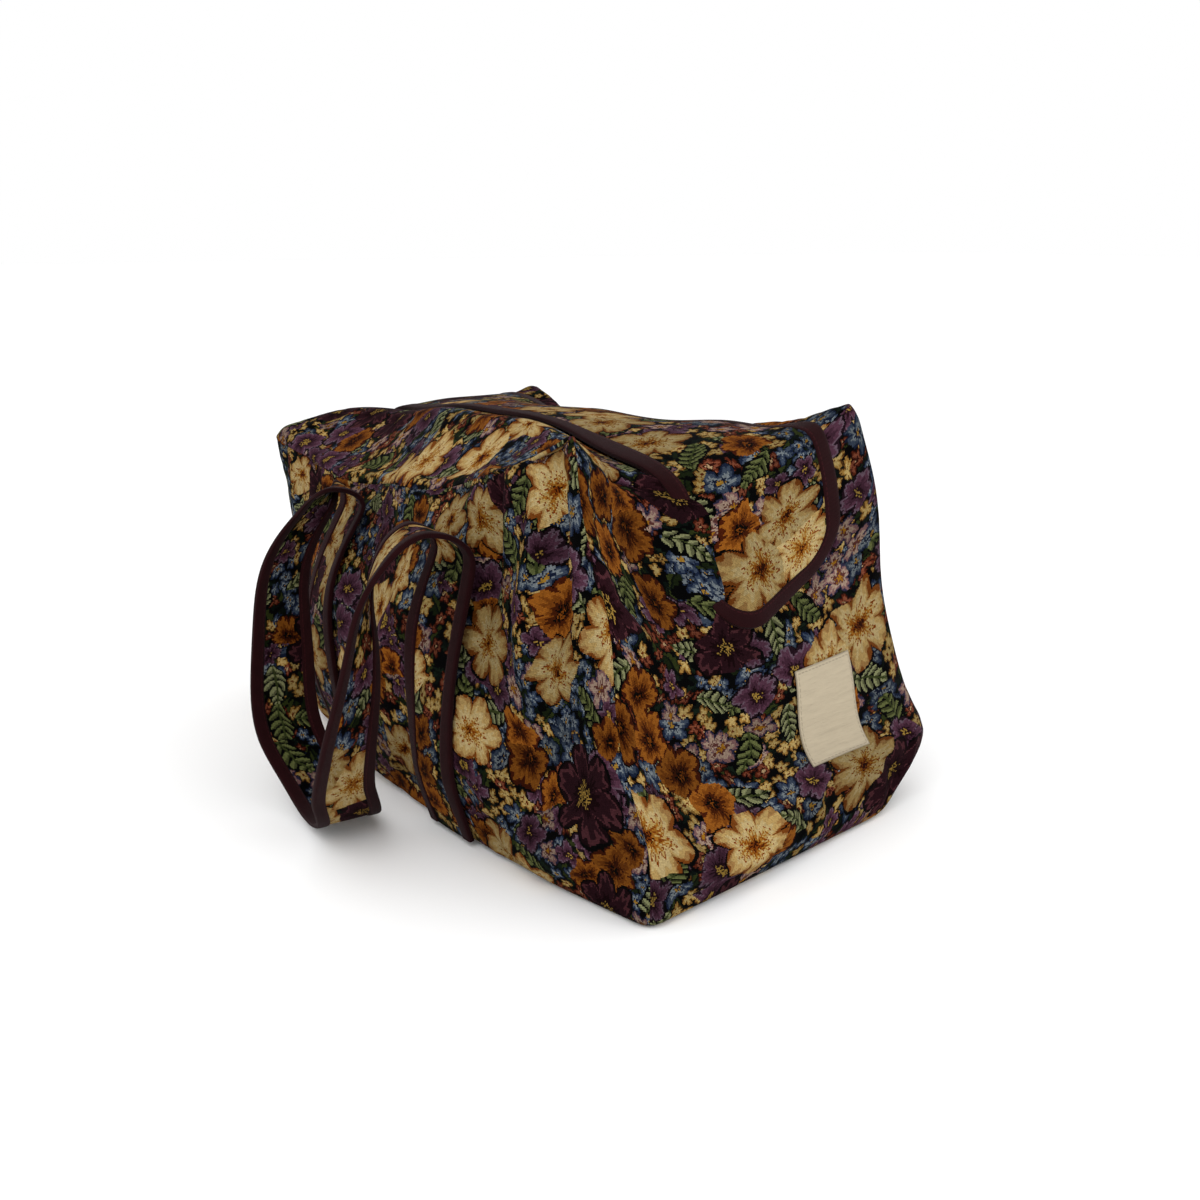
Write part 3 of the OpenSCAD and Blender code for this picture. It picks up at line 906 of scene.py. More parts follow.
    def sprigs(self, nm: NodeMaker, uv: Any, under: Any) -> Any:
        """Pale sprigs with paired leaflets along a stem, on a dark patch of ground.

        Args:
            nm: Maker for the tree.
            uv: Snapped place on the cloth.
            under: Colour below.

        Returns:
            The colour with the sprigs.
        """
        s = self.sprig
        local, rnd = nm.cells(nm.vector("ADD", uv, (9.37, 7.21, 0.0)), s.pitch, s.scatter)
        x, y, _ = nm.spun(local, rnd[0])
        y = nm.math("MULTIPLY_ADD", nm.math("SINE", nm.math("MULTIPLY", x, s.bend[0])), s.bend[1], y)
        off = nm.math("ABSOLUTE", y)
        taper = nm.math("SUBTRACT", 1.05, nm.math("ABSOLUTE", nm.math("DIVIDE", x, s.half)))
        reach = nm.math("MULTIPLY", nm.math("POWER", nm.math("MAXIMUM", taper, 0.0), 0.5), s.side / 2)
        slant = nm.math("DIVIDE", nm.math("MULTIPLY_ADD", off, -s.slant, x), s.step)
        phase = nm.math("DIVIDE", nm.math("SUBTRACT", nm.math("FRACT", slant), 0.5), s.plump)
        away = nm.math("DIVIDE", nm.math("SUBTRACT", off, reach), nm.math("MAXIMUM", reach, 1e-5))
        oval = nm.math("MULTIPLY_ADD", away, away, nm.math("MULTIPLY", phase, phase))
        shown = nm.math("LESS_THAN", rnd[1], s.share)
        shown = nm.math("MULTIPLY", nm.math("LESS_THAN", nm.math("ABSOLUTE", x), s.half), shown)
        patch = nm.math("MULTIPLY", nm.math("LESS_THAN", off, nm.math("MULTIPLY", reach, 2.3)), shown)
        leaf = nm.math("MULTIPLY", nm.math("LESS_THAN", oval, 0.9), shown)
        stem = nm.math("MULTIPLY", nm.math("LESS_THAN", off, s.stem), shown)
        tint = nm.blend(nm.math("GREATER_THAN", rnd[2], 0.5), s.pale, s.sage)
        tint = nm.blend(nm.math("GREATER_THAN", phase, 0.1), tint, nm.vector("SCALE", tint, 0.5))
        colour = nm.blend(patch, under, s.ground)
        colour = nm.blend(leaf, colour, tint)
        return nm.blend(stem, colour, s.stalk)

    def flowers(self, nm: NodeMaker, uv: Any, layer: FlowerLayer, under: Any) -> Any:
        """One layer of flowers laid over the colour below.

        Args:
            nm: Maker for the tree.
            uv: Snapped place on the cloth.
            layer: The layer's sizes and kinds.
            under: Colour below.

        Returns:
            The colour with the flowers.
        """
        place = nm.vector("ADD", uv, (layer.shift, layer.shift * 0.7, 0.0))
        local, rnd = nm.cells(place, layer.pitch, layer.scatter)
        middle = nm.vector("SUBTRACT", place, local)
        x, y, _ = nm.split(local)
        angle = nm.math("ADD", nm.math("ARCTAN2", y, x), nm.math("MULTIPLY", rnd[0], FULL_TURN))
        lobe = nm.math("ABSOLUTE", nm.math("COSINE", nm.math("MULTIPLY", angle, layer.petals / 2)))
        lobe = nm.math("POWER", lobe, layer.pointed)
        size = nm.math("MULTIPLY_ADD", rnd[1], *self.flower_size)
        reach = nm.math("MULTIPLY_ADD", lobe, layer.deep, 1 - layer.deep)
        reach = nm.math("MULTIPLY", nm.math("MULTIPLY", reach, layer.radius), size)
        far = nm.math("DIVIDE", nm.vector("LENGTH", local, out=1), reach)
        mottle = nm.math("SUBTRACT", nm.noise(place, 2.2 / layer.radius, 1.0), 0.5)
        crease = nm.math("MULTIPLY", nm.math("SUBTRACT", 1.0, lobe), nm.math("MULTIPLY", far, 0.42))
        streak = nm.math("SINE", nm.math("MULTIPLY", angle, layer.petals * 4.0))
        tone = nm.math("MULTIPLY_ADD", mottle, 0.22, far)
        tone = nm.math("ADD", tone, nm.math("MULTIPLY_ADD", streak, 0.08, crease))
        bright = nm.math("MULTIPLY_ADD", rnd[2], *self.flower_tone)
        petals = nm.vector("SCALE", self.petals(nm, layer, tone, middle, rnd[2]), bright)
        where = nm.vector("ADD", middle, (layer.shift * 3.1, 0.37, 0.0))
        chance = nm.math("MULTIPLY", nm.noise(where, layer.grouping * 2.2, 1.0), 0.8)
        chance = nm.math("MULTIPLY_ADD", rnd[1], 0.2, chance)
        shown = nm.math("LESS_THAN", chance, layer.share * 0.62 + 0.2)
        inside = nm.math("MULTIPLY", nm.math("LESS_THAN", far, 1.0), shown)
        rim = nm.math("MULTIPLY", nm.math("LESS_THAN", far, self.outline), shown)
        return nm.blend(inside, nm.blend(rim, under, self.outline_tone), petals)

    def petals(self, nm: NodeMaker, layer: FlowerLayer, tone: Any, middle: Any, chance: Any) -> Any:
        """The petals' colour, of a kind that neighbours mostly share.

        Args:
            nm: Maker for the tree.
            layer: The layer's kinds.
            tone: Place between a flower's middle and its tips.
            middle: Place of the flower.
            chance: Random number of the flower.

        Returns:
            The colour.
        """
        group = nm.math("MULTIPLY", nm.noise(middle, layer.grouping, 1.0), 1.5)
        pick = nm.math("SUBTRACT", nm.math("MULTIPLY_ADD", chance, 0.3, group), 0.4)
        colour: Any = nm.ramp(tone, PETAL_TONES[layer.kinds[0]])
        for i, kind in enumerate(layer.kinds[1:], start=1):
            limit = 0.18 + 0.64 * i / len(layer.kinds)
            colour = nm.blend(nm.math("GREATER_THAN", pick, limit), colour, nm.ramp(tone, PETAL_TONES[kind]))
        return colour


@dataclass(frozen=True)
class SlumpWave:
    """One slow wave in the cloth: how far it moves along an axis, its lengths in millimetres and its start."""

    axis: int
    amount: float
    x: float = math.inf
    y: float = math.inf
    z: float = math.inf
    start: float = 0.0


SLUMP: Tuple[SlumpWave, ...] = (
    SlumpWave(0, 2.8, y=44, z=21, start=0.7),
    SlumpWave(0, 2.2, x=58, z=36, start=2.1),
    SlumpWave(1, 2.8, x=31, z=46, start=0.4),
    SlumpWave(1, 2.3, x=19, z=-27, start=1.1),
    SlumpWave(2, 2.0, x=43, start=1.9),
    SlumpWave(2, 1.9, x=22, y=31),
)


def slumped(p: np.ndarray) -> np.ndarray:
    """Points with a slow unevenness, the same for all cloth, that leaves the floor and the mouth alone.

    Args:
        p: Points in millimetres.

    Returns:
        The moved points.
    """
    x, y, z = p[..., 0], p[..., 1], p[..., 2]
    mouth = hill(y, 22.0, 40.0) * ramp_up(z, 195.0, 30.0)
    calm = ramp_up(z, 2.0, 45.0) * (1 - mouth)
    out = p.copy()
    for w in SLUMP:
        out[..., w.axis] += w.amount * np.sin(x / w.x + y / w.y + z / w.z + w.start) * calm
    return out


def grid_object(name: str, points: np.ndarray, uv: np.ndarray, slump: bool = True) -> Any:
    """A grid primitive shaped to rows of points, in metres.

    Args:
        name: Name of the object.
        points: Rows by columns by three, in millimetres; columns cross rows point outward.
        uv: Rows by columns by two, in metres.
        slump: Whether the points share the cloth's slow unevenness.

    Returns:
        The object, at the origin.
    """
    rows, cols = points.shape[:2]
    points = slumped(points) if slump else points
    bpy.ops.object.select_all(action="DESELECT")
    bpy.ops.mesh.primitive_grid_add(
        x_subdivisions=cols - 1, y_subdivisions=rows - 1, size=2.0, location=(0, 0, 0)
    )
    obj = bpy.context.active_object
    obj.name = name
    obj.data.name = name
    mesh = obj.data
    mesh.vertices.foreach_set("co", (points.reshape(-1, 3) * MM).astype(np.float32).ravel())
    loops = np.zeros(len(mesh.loops), dtype=np.int32)
    mesh.loops.foreach_get("vertex_index", loops)
    flat = uv.reshape(-1, 2).astype(np.float32)
    mesh.uv_layers.active.data.foreach_set("uv", flat[loops].ravel())
    mesh.update()
    bpy.ops.object.shade_smooth()
    return obj


def tube_object(name: str, points: np.ndarray, uv: np.ndarray, closed: bool) -> Any:
    """A grid primitive wrapped into a tube, with its ends filled unless it is a closed ring.

    Args:
        name: Name of the object.
        points: Rows by section points by three, in millimetres.
        uv: Rows by section points by two, in metres.
        closed: Whether the rows form a ring.

    Returns:
        The object.
    """
    obj = grid_object(name, points, uv)
    bpy.ops.object.mode_set(mode="EDIT")
    bpy.ops.mesh.select_all(action="SELECT")
    bpy.ops.mesh.remove_doubles(threshold=1e-6)
    if not closed:
        bpy.ops.mesh.fill_holes(sides=0)
    bpy.ops.mesh.normals_make_consistent(inside=False)
    bpy.ops.object.mode_set(mode="OBJECT")
    bpy.ops.object.shade_smooth_by_angle(angle=math.radians(50))
    return obj


def enlist(obj: Any, node: str, material: Any) -> None:
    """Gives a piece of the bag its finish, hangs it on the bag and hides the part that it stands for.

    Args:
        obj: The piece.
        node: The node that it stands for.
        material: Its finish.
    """
    obj.data.materials.clear()
    obj.data.materials.append(material)
    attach(obj, "bag")
    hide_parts(node)


def apply_modifier(obj: Any, kind: str, **values: Any) -> None:
    """Adds one modifier with its values and applies it.

    Args:
        obj: The object.
        kind: Type of the modifier.
        values: Its settings.
    """
    modifier = obj.modifiers.new(kind.title(), kind)
    for key, value in values.items():
        setattr(modifier, key, value)
    bpy.ops.object.select_all(action="DESELECT")
    bpy.context.view_layer.objects.active = obj
    obj.select_set(True)
    bpy.ops.object.modifier_apply(modifier=modifier.name)


def thicken(obj: Any, thick: float) -> None:
    """Gives a sheet its thickness, in metres, inward from its outer face."""
    apply_modifier(obj, "SOLIDIFY", thickness=thick, offset=-1.0, use_rim=True)


def settle(obj: Any, free: np.ndarray, grow: float, cap: float, frames: int) -> None:
    """Lets a panel settle as cloth that is sewn down at its edges.

    Args:
        obj: The panel.
        free: How free each vertex is, from 0 where it is sewn down to 1.
        grow: Share by which the cloth is too large for its frame.
        cap: Farthest that a vertex may move, in metres.
        frames: Steps of the simulation.
    """
    mesh = obj.data
    rest = np.zeros(len(mesh.vertices) * 3, dtype=np.float32)
    mesh.vertices.foreach_get("co", rest)
    group = obj.vertex_groups.new(name="sewn")
    for i, value in enumerate(free.ravel()):
        group.add([i], float(1.0 - value), "REPLACE")
    modifier = obj.modifiers.new("Cloth", "CLOTH")
    settings = modifier.settings
    settings.quality = 4
    settings.mass = 0.25
    settings.tension_stiffness = 25.0
    settings.compression_stiffness = 25.0
    settings.shear_stiffness = 10.0
    settings.bending_stiffness = 0.6
    settings.vertex_group_mass = "sewn"
    settings.shrink_min = -grow
    modifier.point_cache.frame_start = 1
    modifier.point_cache.frame_end = frames
    scene = bpy.context.scene
    for step in range(1, frames + 1):
        scene.frame_set(step)
    graph = bpy.context.evaluated_depsgraph_get()
    moved = np.zeros_like(rest)
    obj.evaluated_get(graph).data.vertices.foreach_get("co", moved)
    obj.modifiers.remove(modifier)
    obj.vertex_groups.remove(group)
    scene.frame_set(1)
    shift = (moved - rest).reshape(-1, 3)
    length = np.linalg.norm(shift, axis=1, keepdims=True)
    shift *= cap * np.tanh(length / cap) / np.maximum(length, 1e-9)
    shift *= np.clip(free.reshape(-1, 1) * 1.5, 0, 1)
    mesh.vertices.foreach_set("co", (rest.reshape(-1, 3) + shift).astype(np.float32).ravel())
    mesh.update()


@dataclass
class Panel:
    """One tapestry panel of the bag's body."""

    name: str
    node: str
    points: np.ndarray
    uv: np.ndarray
    free: np.ndarray
    grow: float = 0.05
    cap: float = 0.009
    sewn_to: Tuple[str, ...] = ("base_cloth",)
    obj: Any = None

    def turned_over(self) -> "Panel":
        """The panel with its columns reversed, for a face that looks the other way."""
        self.points, self.uv, self.free = (g[:, ::-1] for g in (self.points, self.uv, self.free))
        return self

    def build(self) -> None:
        """Shapes the panel, lets it settle and gives it thickness."""
        self.obj = grid_object(self.name, self.points, self.uv)
        settle(self.obj, self.free, self.grow, self.cap, SETTLE_FRAMES)
        apply_modifier(self.obj, "SUBSURF", levels=1, render_levels=1)
        thicken(self.obj, PANEL_THICK)

    def dress(self, material: Any) -> None:
        """Gives the panel its finish and its place in the frame.

        Args:
            material: Its finish.
        """
        enlist(self.obj, self.node, material)


@dataclass(frozen=True)
class Fold:
    """One soft fold of a long panel: its depth in millimetres, and its place and width along and up."""

    depth: float
    along: Pair
    up: Pair
    slant: float = 0.0
    pivot: float = 0.0

    def dent(self, a: np.ndarray, h: np.ndarray) -> np.ndarray:
        """How far the fold goes in at places along and up."""
        return self.depth * hill(a - self.slant * (h - self.pivot), *self.along) * hill(h, *self.up)


FOLDS: Tuple[Fold, ...] = (
    Fold(19.0, (0.875, 0.045), (0.76, 0.24), 0.10, 0.75),
    Fold(-8.0, (0.75, 0.06), (0.72, 0.25)),
    Fold(11.0, (0.60, 0.05), (0.80, 0.18), 0.45, 0.8),
    Fold(8.0, (-0.62, 0.08), (0.84, 0.16), -0.9, 0.9),
    Fold(-4.0, (0.70, 0.10), (0.30, 0.25)),
)


@dataclass
class Body:
    """The bag's seven tapestry panels, with the metres of cloth that each takes of the pattern."""

    skin: Skin
    panels: List[Panel] = field(default_factory=list)
    cloth_long: float = 0.278
    cloth_half: float = 0.25
    cloth_wide: float = 0.106
    cloth_up: float = 0.26
    cloth_top: float = 0.11

    def legs_free(self, a: np.ndarray, h: np.ndarray) -> np.ndarray:
        """Zero where a strap leg is sewn down on a long panel.

        Args:
            a: Places along, from -1 to 1.
            h: Share of the height.

        Returns:
            How free each place is, from 0 to 1.
        """
        s = self.skin.size
        free = np.ones_like(a)
        for side in (-1, 1):
            off = np.abs(a * self.skin.half_l - side * s.leg_spacing / 2) - s.strap_w / 2
            free = free * np.maximum(ramp_up(off, 2, 14.0), ramp_up(h, 0.86, 0.06))
        return free

    def long_panel(self, facing: Facing) -> Panel:
        """The front or the back panel.

        Args:
            facing: The long side that it belongs to.

        Returns:
            The panel.
        """
        p, q = spread(97, 49)
        a, f = 2 * p - 1, facing.value
        off_legs = self.legs_free(a, q)
        pts = self.skin.straight(a, np.full_like(a, f), q)
        pts[..., 1] -= f * sum(fold.dent(a, q) for fold in FOLDS) * off_legs
        free = np.minimum(ramp_up(edge_share(p, q), 0, 0.06), off_legs)
        uv = np.stack([a * self.cloth_long + (0.0 if f < 0 else 3.0), q * self.cloth_up], axis=-1)
        word = facing.name.lower()
        panel = Panel(f"{word}_panel_cloth", f"{word}_panel", self.skin.turned(pts), uv, free)
        return panel.turned_over() if f > 0 else panel

    def end_panel(self, side: int) -> Panel:
        """The right (1) or the left (-1) end panel.

        Args:
            side: The end.

        Returns:
            The panel.
        """
        s = self.skin.size
        p, h = spread(61, 61)
        b = 2 * p - 1
        y = b * self.skin.half_w
        pts = self.skin.side(np.full_like(b, side), b, h)
        free = ramp_up(edge_share(p, h), 0, 0.08)
        if side > 0:
            beside = np.abs(y - s.label_back) - s.label_w / 2
            above = np.abs(h * 265.0 - s.label_height) - s.label_h / 2
            free = free * ramp_up(np.maximum(beside, above), 2, 16.0)
        under_flap = (np.abs(y - s.flap_back) < s.flap_w / 2 + 4) & (h * 250 > s.flap_left_tip - 6)
        free = np.where(under_flap, 0.0, free)
        uv = np.stack([b * self.cloth_wide + 1.0 + side * 0.5, h * self.cloth_up + 0.7], axis=-1)
        word = "right" if side > 0 else "left"
        panel = Panel(f"{word}_end_cloth", f"{word}_end_panel", pts, uv, free)
        return panel.turned_over() if side < 0 else panel

    def top_panel(self, facing: Facing) -> Panel:
        """The front or the back top panel.

        Args:
            facing: The long side that it belongs to.

        Returns:
            The panel.
        """
        p, q = spread(97, 33)
        a, f = 2 * p - 1, facing.value
        free = np.minimum(ramp_up(edge_share(p, q), 0, 0.1), np.clip((0.62 - q) / 0.12, 0, 1))
        uv = np.stack([a * self.cloth_half + 5.0 + f, q * self.cloth_top + 0.4], axis=-1)
        word = facing.name.lower()
        pts = self.skin.top(a, f, q)
        panel = Panel(f"{word}_top_cloth", f"{word}_top_panel", pts, uv, free, cap=0.006)
        return panel.turned_over() if f > 0 else panel

    def base(self) -> Panel:
        """The base panel.

        Returns:
            The panel.
        """
        p, q = spread(81, 33)
        a, b = 2 * p - 1, 1 - 2 * q
        pts = self.skin.side(a, b, np.zeros_like(a))
        uv = np.stack([a * self.cloth_half + 7.0, b * self.cloth_wide], axis=-1)
        sewn = np.zeros_like(a)
        return Panel("base_cloth", "base_panel", pts, uv, sewn, 0.0, 1e-6, ("front_panel_cloth",))

    def build(self) -> None:
        """Builds all seven panels."""
        self.panels = [self.long_panel(f) for f in Facing] + [self.end_panel(s) for s in (1, -1)]
        self.panels += [self.top_panel(f) for f in Facing] + [self.base()]
        for panel in self.panels:
            panel.build()
            LOG.info("panel %s", panel.name)

    def dress(self, material: Any) -> None:
        """Dresses all panels in the tapestry."""
        for panel in self.panels:
            panel.dress(material)


def section(points: int, sharp: float = 0.45) -> Tuple[np.ndarray, np.ndarray]:
    """A flat rounded section from -1 to 1 across and through, with its first point repeated at the end.

    Args:
        points: Points round the section.
        sharp: Power that makes it flat, with 1 for an oval.

    Returns:
        Places across and places through.
    """
    f = np.linspace(0, 2 * np.pi, points + 1)
    c, s = np.cos(f), np.sin(f)
    return np.sign(c) * np.abs(c) ** sharp, np.sign(s) * np.abs(s) ** sharp


def smooth_path(knots: np.ndarray, steps: int) -> np.ndarray:
    """A smooth line through all knots, with a number of steps between each two.

    Args:
        knots: Points that the line goes through.
        steps: Steps between two knots.

    Returns:
        Points of the line.
    """
    padded = np.vstack([knots[:1], knots, knots[-1:]])
    out: List[np.ndarray] = []
    for i in range(len(knots) - 1):
        p0, p1, p2, p3 = padded[i : i + 4]
        for t in np.linspace(0, 1, steps, endpoint=False):
            square = (2 * p0 - 5 * p1 + 4 * p2 - p3) * t * t
            cube = (3 * p1 - p0 - 3 * p2 + p3) * t**3
            out.append(0.5 * (2 * p1 + (p2 - p0) * t + square + cube))
    out.append(knots[-1])
    return np.array(out)


# The free loop of a handle: places along, out from the panel and up in millimetres, then the strap's
# width direction along and out
LOOP: Tuple[Tuple[float, float, float, float, float], ...] = (
    (84, 13, 204, 1.00, 0.12),
    (84, 31, 208, 0.98, 0.30),
    (86, 50, 197, 0.90, 0.46),
    (90, 60, 172, 0.72, 0.72),
    (95, 62, 140, 0.52, 0.86),
    (95, 62, 104, 0.34, 0.95),
    (89, 60, 66, 0.22, 0.98),
    (70, 56, 28, 0.08, 1.00),
    (38, 52, 8, 0.00, 1.00),
    (6, 50, 13, 0.00, 1.00),
    (-16, 50, 42, 0.06, 1.00),
    (-26, 50, 84, 0.12, 1.00),
    (-34, 49, 126, 0.24, 0.97),
    (-44, 46, 166, 0.44, 0.90),
    (-57, 38, 197, 0.72, 0.70),
    (-72, 25, 207, 0.92, 0.40),
    (-81, 11, 203, 1.00, 0.14),
)


@dataclass
class Handle:
    """One strap handle: two sewn legs and the free loop between them, with a binding on each edge."""

    skin: Skin
    facing: Facing
    strap: Any = None
    bindings: List[Any] = field(default_factory=list)
    length: float = 0.0

    def face(self, s: np.ndarray, z: np.ndarray, lift: float) -> np.ndarray:
        """Points on the long panel at places along and heights, moved out by a lift.

        Args:
            s: Places along, in millimetres.
            z: Heights in millimetres.
            lift: Distance out from the panel.

        Returns:
            Points of the straight bag.
        """
        size, f = self.skin.size, float(self.facing.value)
        a = s / self.skin.half_l
        facing = np.full_like(a, f)
        for _ in range(3):
            h = z / self.skin.rim(a, facing)
            right, left = size.right_lean / 2 * h**size.lean_power, size.left_lean / 2 * h
            a = (s + right - left) / (self.skin.half_l - right - left)
        h = z / self.skin.rim(a, facing)
        y = self.skin.across(a, facing, h)
        far = np.full_like(a, self.skin.half_l)
        low = self.skin.rounding((far, np.zeros_like(a), z), size.base_round)
        return np.stack([s, y - f * low[1] + f * lift, z], axis=-1)

    def rows(self) -> Tuple[np.ndarray, np.ndarray]:
        """Left and right edge points of the whole strap, in the straight bag.

        Returns:
            The left and the right row of points.
        """
        size, f = self.skin.size, self.facing.value
        lift = size.leg_lift + size.binding_t / 2
        half = size.strap_w / 2
        up = np.linspace(size.leg_bottom, size.leg_top, 40)
        legs = []
        for side, z in ((1, up), (-1, up[::-1])):
            middle = np.full_like(z, side * size.leg_spacing / 2)
            legs.append((self.face(middle - half, z, lift), self.face(middle + half, z, lift)))
        loop = smooth_path(np.array(LOOP, float), 8)
        middle = self.face(loop[:, 0], np.minimum(loop[:, 2], size.leg_top), 0.0)
        middle[:, 1] += f * (loop[:, 1] + lift)
        middle[:, 2] = loop[:, 2]
        way = unit(np.stack([loop[:, 3], f * loop[:, 4], np.zeros(len(loop))], axis=-1))
        left = np.vstack([legs[0][0], middle - way * half, legs[1][0]])
        right = np.vstack([legs[0][1], middle + way * half, legs[1][1]])
        return eased(left, 3), eased(right, 3)

    def strip(self, name: str, low: float, high: float, thick: float, ring: int, edge: float = 0.0) -> Any:
        """A strip of the strap.

        Args:
            name: Name of the object.
            low: Place across the strap at which it starts, in millimetres.
            high: Place at which it ends.
            thick: Its thickness.
            ring: Points round its section.
            edge: Place across the strap from which its UV counts.

        Returns:
            The object.
        """
        left, right = self.rows()
        middle = (left + right) / 2
        normal = unit(np.cross(np.gradient(middle, axis=0), right - left))
        across, through = section(ring)
        width = self.skin.size.strap_w
        w = mix(low, high, (across + 1) / 2) / width
        pts = left[:, None] + (right - left)[:, None] * w[None, :, None]
        pts = pts + normal[:, None] * (through * thick / 2)[None, :, None]
        run = run_along(middle) * MM
        self.length = float(run[-1])
        u = np.broadcast_to(np.abs(w * width - edge) * MM, pts.shape[:2])
        v = np.broadcast_to(run[:, None] + self.facing.value, pts.shape[:2])
        return tube_object(name, self.skin.turned(pts), np.stack([u, v], axis=-1), closed=False)

    def build(self) -> None:
        """Shapes the strap and its two bindings."""
        s, word = self.skin.size, self.facing.name.lower()
        inner = s.binding_w + s.binding_gap - s.strap_lap
        far = s.strap_w - s.binding_w
        self.strap = self.strip(f"{word}_strap", inner, s.strap_w - inner, s.cloth, 16)
        self.bindings = [
            self.strip(f"{word}_strap_inner_binding", 0.0, s.binding_w, s.binding_t, 14),
            self.strip(f"{word}_strap_outer_binding", far, s.strap_w, s.binding_t, 14, s.strap_w),
        ]

    def dress(self, cloth: Any, tape: Any) -> None:
        """Dresses the strap and its bindings.

        Args:
            cloth: The tapestry.
            tape: Finish of the tape.
        """
        word = self.facing.name.lower()
        enlist(self.strap, f"{word}_handle", cloth)
        for obj, side in zip(self.bindings, ("inner", "outer")):
            enlist(obj, f"{word}_handle_{side}_binding", tape)


@dataclass
class Flap:
    """The closing flap with its binding."""

    skin: Skin
    columns: int = 25
    cloth: Any = None
    binding: Any = None
    grid: np.ndarray = field(default_factory=lambda: np.zeros((1, 1, 3)))
    run: np.ndarray = field(default_factory=lambda: np.zeros(1))

    def end_rows(self, side: int, tip: float, n: int) -> np.ndarray:
        """Rows from a tip up to the fold over an end.

        Args:
            side: The right (1) or the left (-1) end.
            tip: Height of the tip.
            n: Number of rows.

        Returns:
            Rows by columns by three, in millimetres.
        """
        s = self.skin.size
        w = np.linspace(-1, 1, self.columns)[None, :]
        k = np.linspace(0, 1, n)[:, None]
        y = mix(s.flap_back - s.flap_w / 2, s.flap_back + s.flap_w / 2, (1 + w) / 2)
        b = np.broadcast_to(y / self.skin.half_w, (n, self.columns))
        a = np.full_like(b, side)
        rim = self.skin.rim(a, b * 0.999)
        low, rise, tuck = tip, 0.0, 0.0
        if side > 0:
            low = tip + s.flap_skew * (1 + w) / 2
            rise = s.flap_end_rise * (1 - hill(w, -1, 0.5))
            tuck = s.flap_tuck * ramp_up(-w, 0.45, 0.35) * ramp_up(k, 0.06, 0.2)
        z = mix(low, rim + s.flap_lift + rise, k)
        h = np.minimum(1, z / rim)
        x = self.skin.along(a, b, h) + side * (s.flap_lift + s.cloth) - tuck
        return self.skin.turned(np.stack([x, self.skin.across(a, b, h), z], axis=-1))

    def top_rows(self, n: int) -> np.ndarray:
        """Rows over the top, from the right end to the left.

        Args:
            n: Number of rows.

        Returns:
            Rows by columns by three, in millimetres.
        """
        s = self.skin.size
        a = 0.93 * np.linspace(1, -1, n)
        edges = []
        for facing, y in ((-1, s.flap_back - s.flap_w / 2), (1, s.flap_back + s.flap_w / 2)):
            lip = s.zip_back + facing * s.mouth_gap / 2
            mouth = np.array([self.skin.mouth_y(float(x), lip) for x in a])
            t = (1 - facing * y / self.skin.half_w) / (1 - facing * mouth / self.skin.half_w)
            edges.append(self.skin.top(a, facing, t, soft=False) + np.array([0, 0, s.flap_lift]))
        w = np.linspace(-1, 1, self.columns)[None, :, None]
        out = mix(edges[0][:, None], edges[1][:, None], (1 + w) / 2)
        out[..., 2] += s.flap_arch * wave(w[..., 0])
        return out

    def at(self, d: np.ndarray, w: np.ndarray) -> np.ndarray:
        """Points of the flap at lengths from the right tip and places across.

        Args:
            d: Lengths from the right tip, in millimetres.
            w: Places across, from -1 to 1.

        Returns:
            Points in millimetres.
        """
        last = self.columns - 1
        row = np.interp(d, self.run, np.arange(len(self.run)))
        i = np.clip(np.floor(row).astype(int), 0, len(self.run) - 2)
        col = (w + 1) / 2 * last
        j = np.clip(np.floor(col).astype(int), 0, last - 1)
        f, g = (row - i)[..., None], (col - j)[..., None]
        low = mix(self.grid[i, j], self.grid[i, j + 1], g)
        high = mix(self.grid[i + 1, j], self.grid[i + 1, j + 1], g)
        return mix(low, high, f)

    def normal(self, d: np.ndarray, w: np.ndarray) -> np.ndarray:
        """Outward directions of the flap.

        Args:
            d: Lengths from the right tip, in millimetres.
            w: Places across, from -1 to 1.

        Returns:
            Vectors of length one.
        """
        along = self.at(np.minimum(d + 3, self.run[-1]), w) - self.at(np.maximum(d - 3, 0), w)
        side = self.at(d, np.clip(w - 0.06, -1, 1)) - self.at(d, np.clip(w + 0.06, -1, 1))
        return unit(np.cross(along, side))

    def half(self, d: np.ndarray, inset: float) -> np.ndarray:
        """Half the flap's width, inset, as a share of its full half.

        Args:
            d: Lengths from the right tip, in millimetres.
            inset: Distance in from the edge, in millimetres.

        Returns:
            Shares from 0 to 1.
        """
        s = self.skin.size
        near = np.minimum(d, self.run[-1] - d) - inset
        r = s.flap_tip_r - inset
        x = np.clip(r - near, 0, r)
        return (s.flap_w / 2 - inset - r + np.sqrt(r * r - x * x)) / (s.flap_w / 2)

    def stations(self, inset: float) -> np.ndarray:
        """Lengths from the right tip, close together at the rounded tips.

        Args:
            inset: Distance in from the edge, in millimetres.

        Returns:
            Lengths in millimetres.
        """
        r, total = self.skin.size.flap_tip_r, self.run[-1]
        tip = inset + (1 - np.cos(np.linspace(0, np.pi / 2, 14))) * (r - inset)
        middle = np.linspace(r, total - r, 110)[1:-1]
        return np.concatenate([tip, middle, total - tip[::-1]])

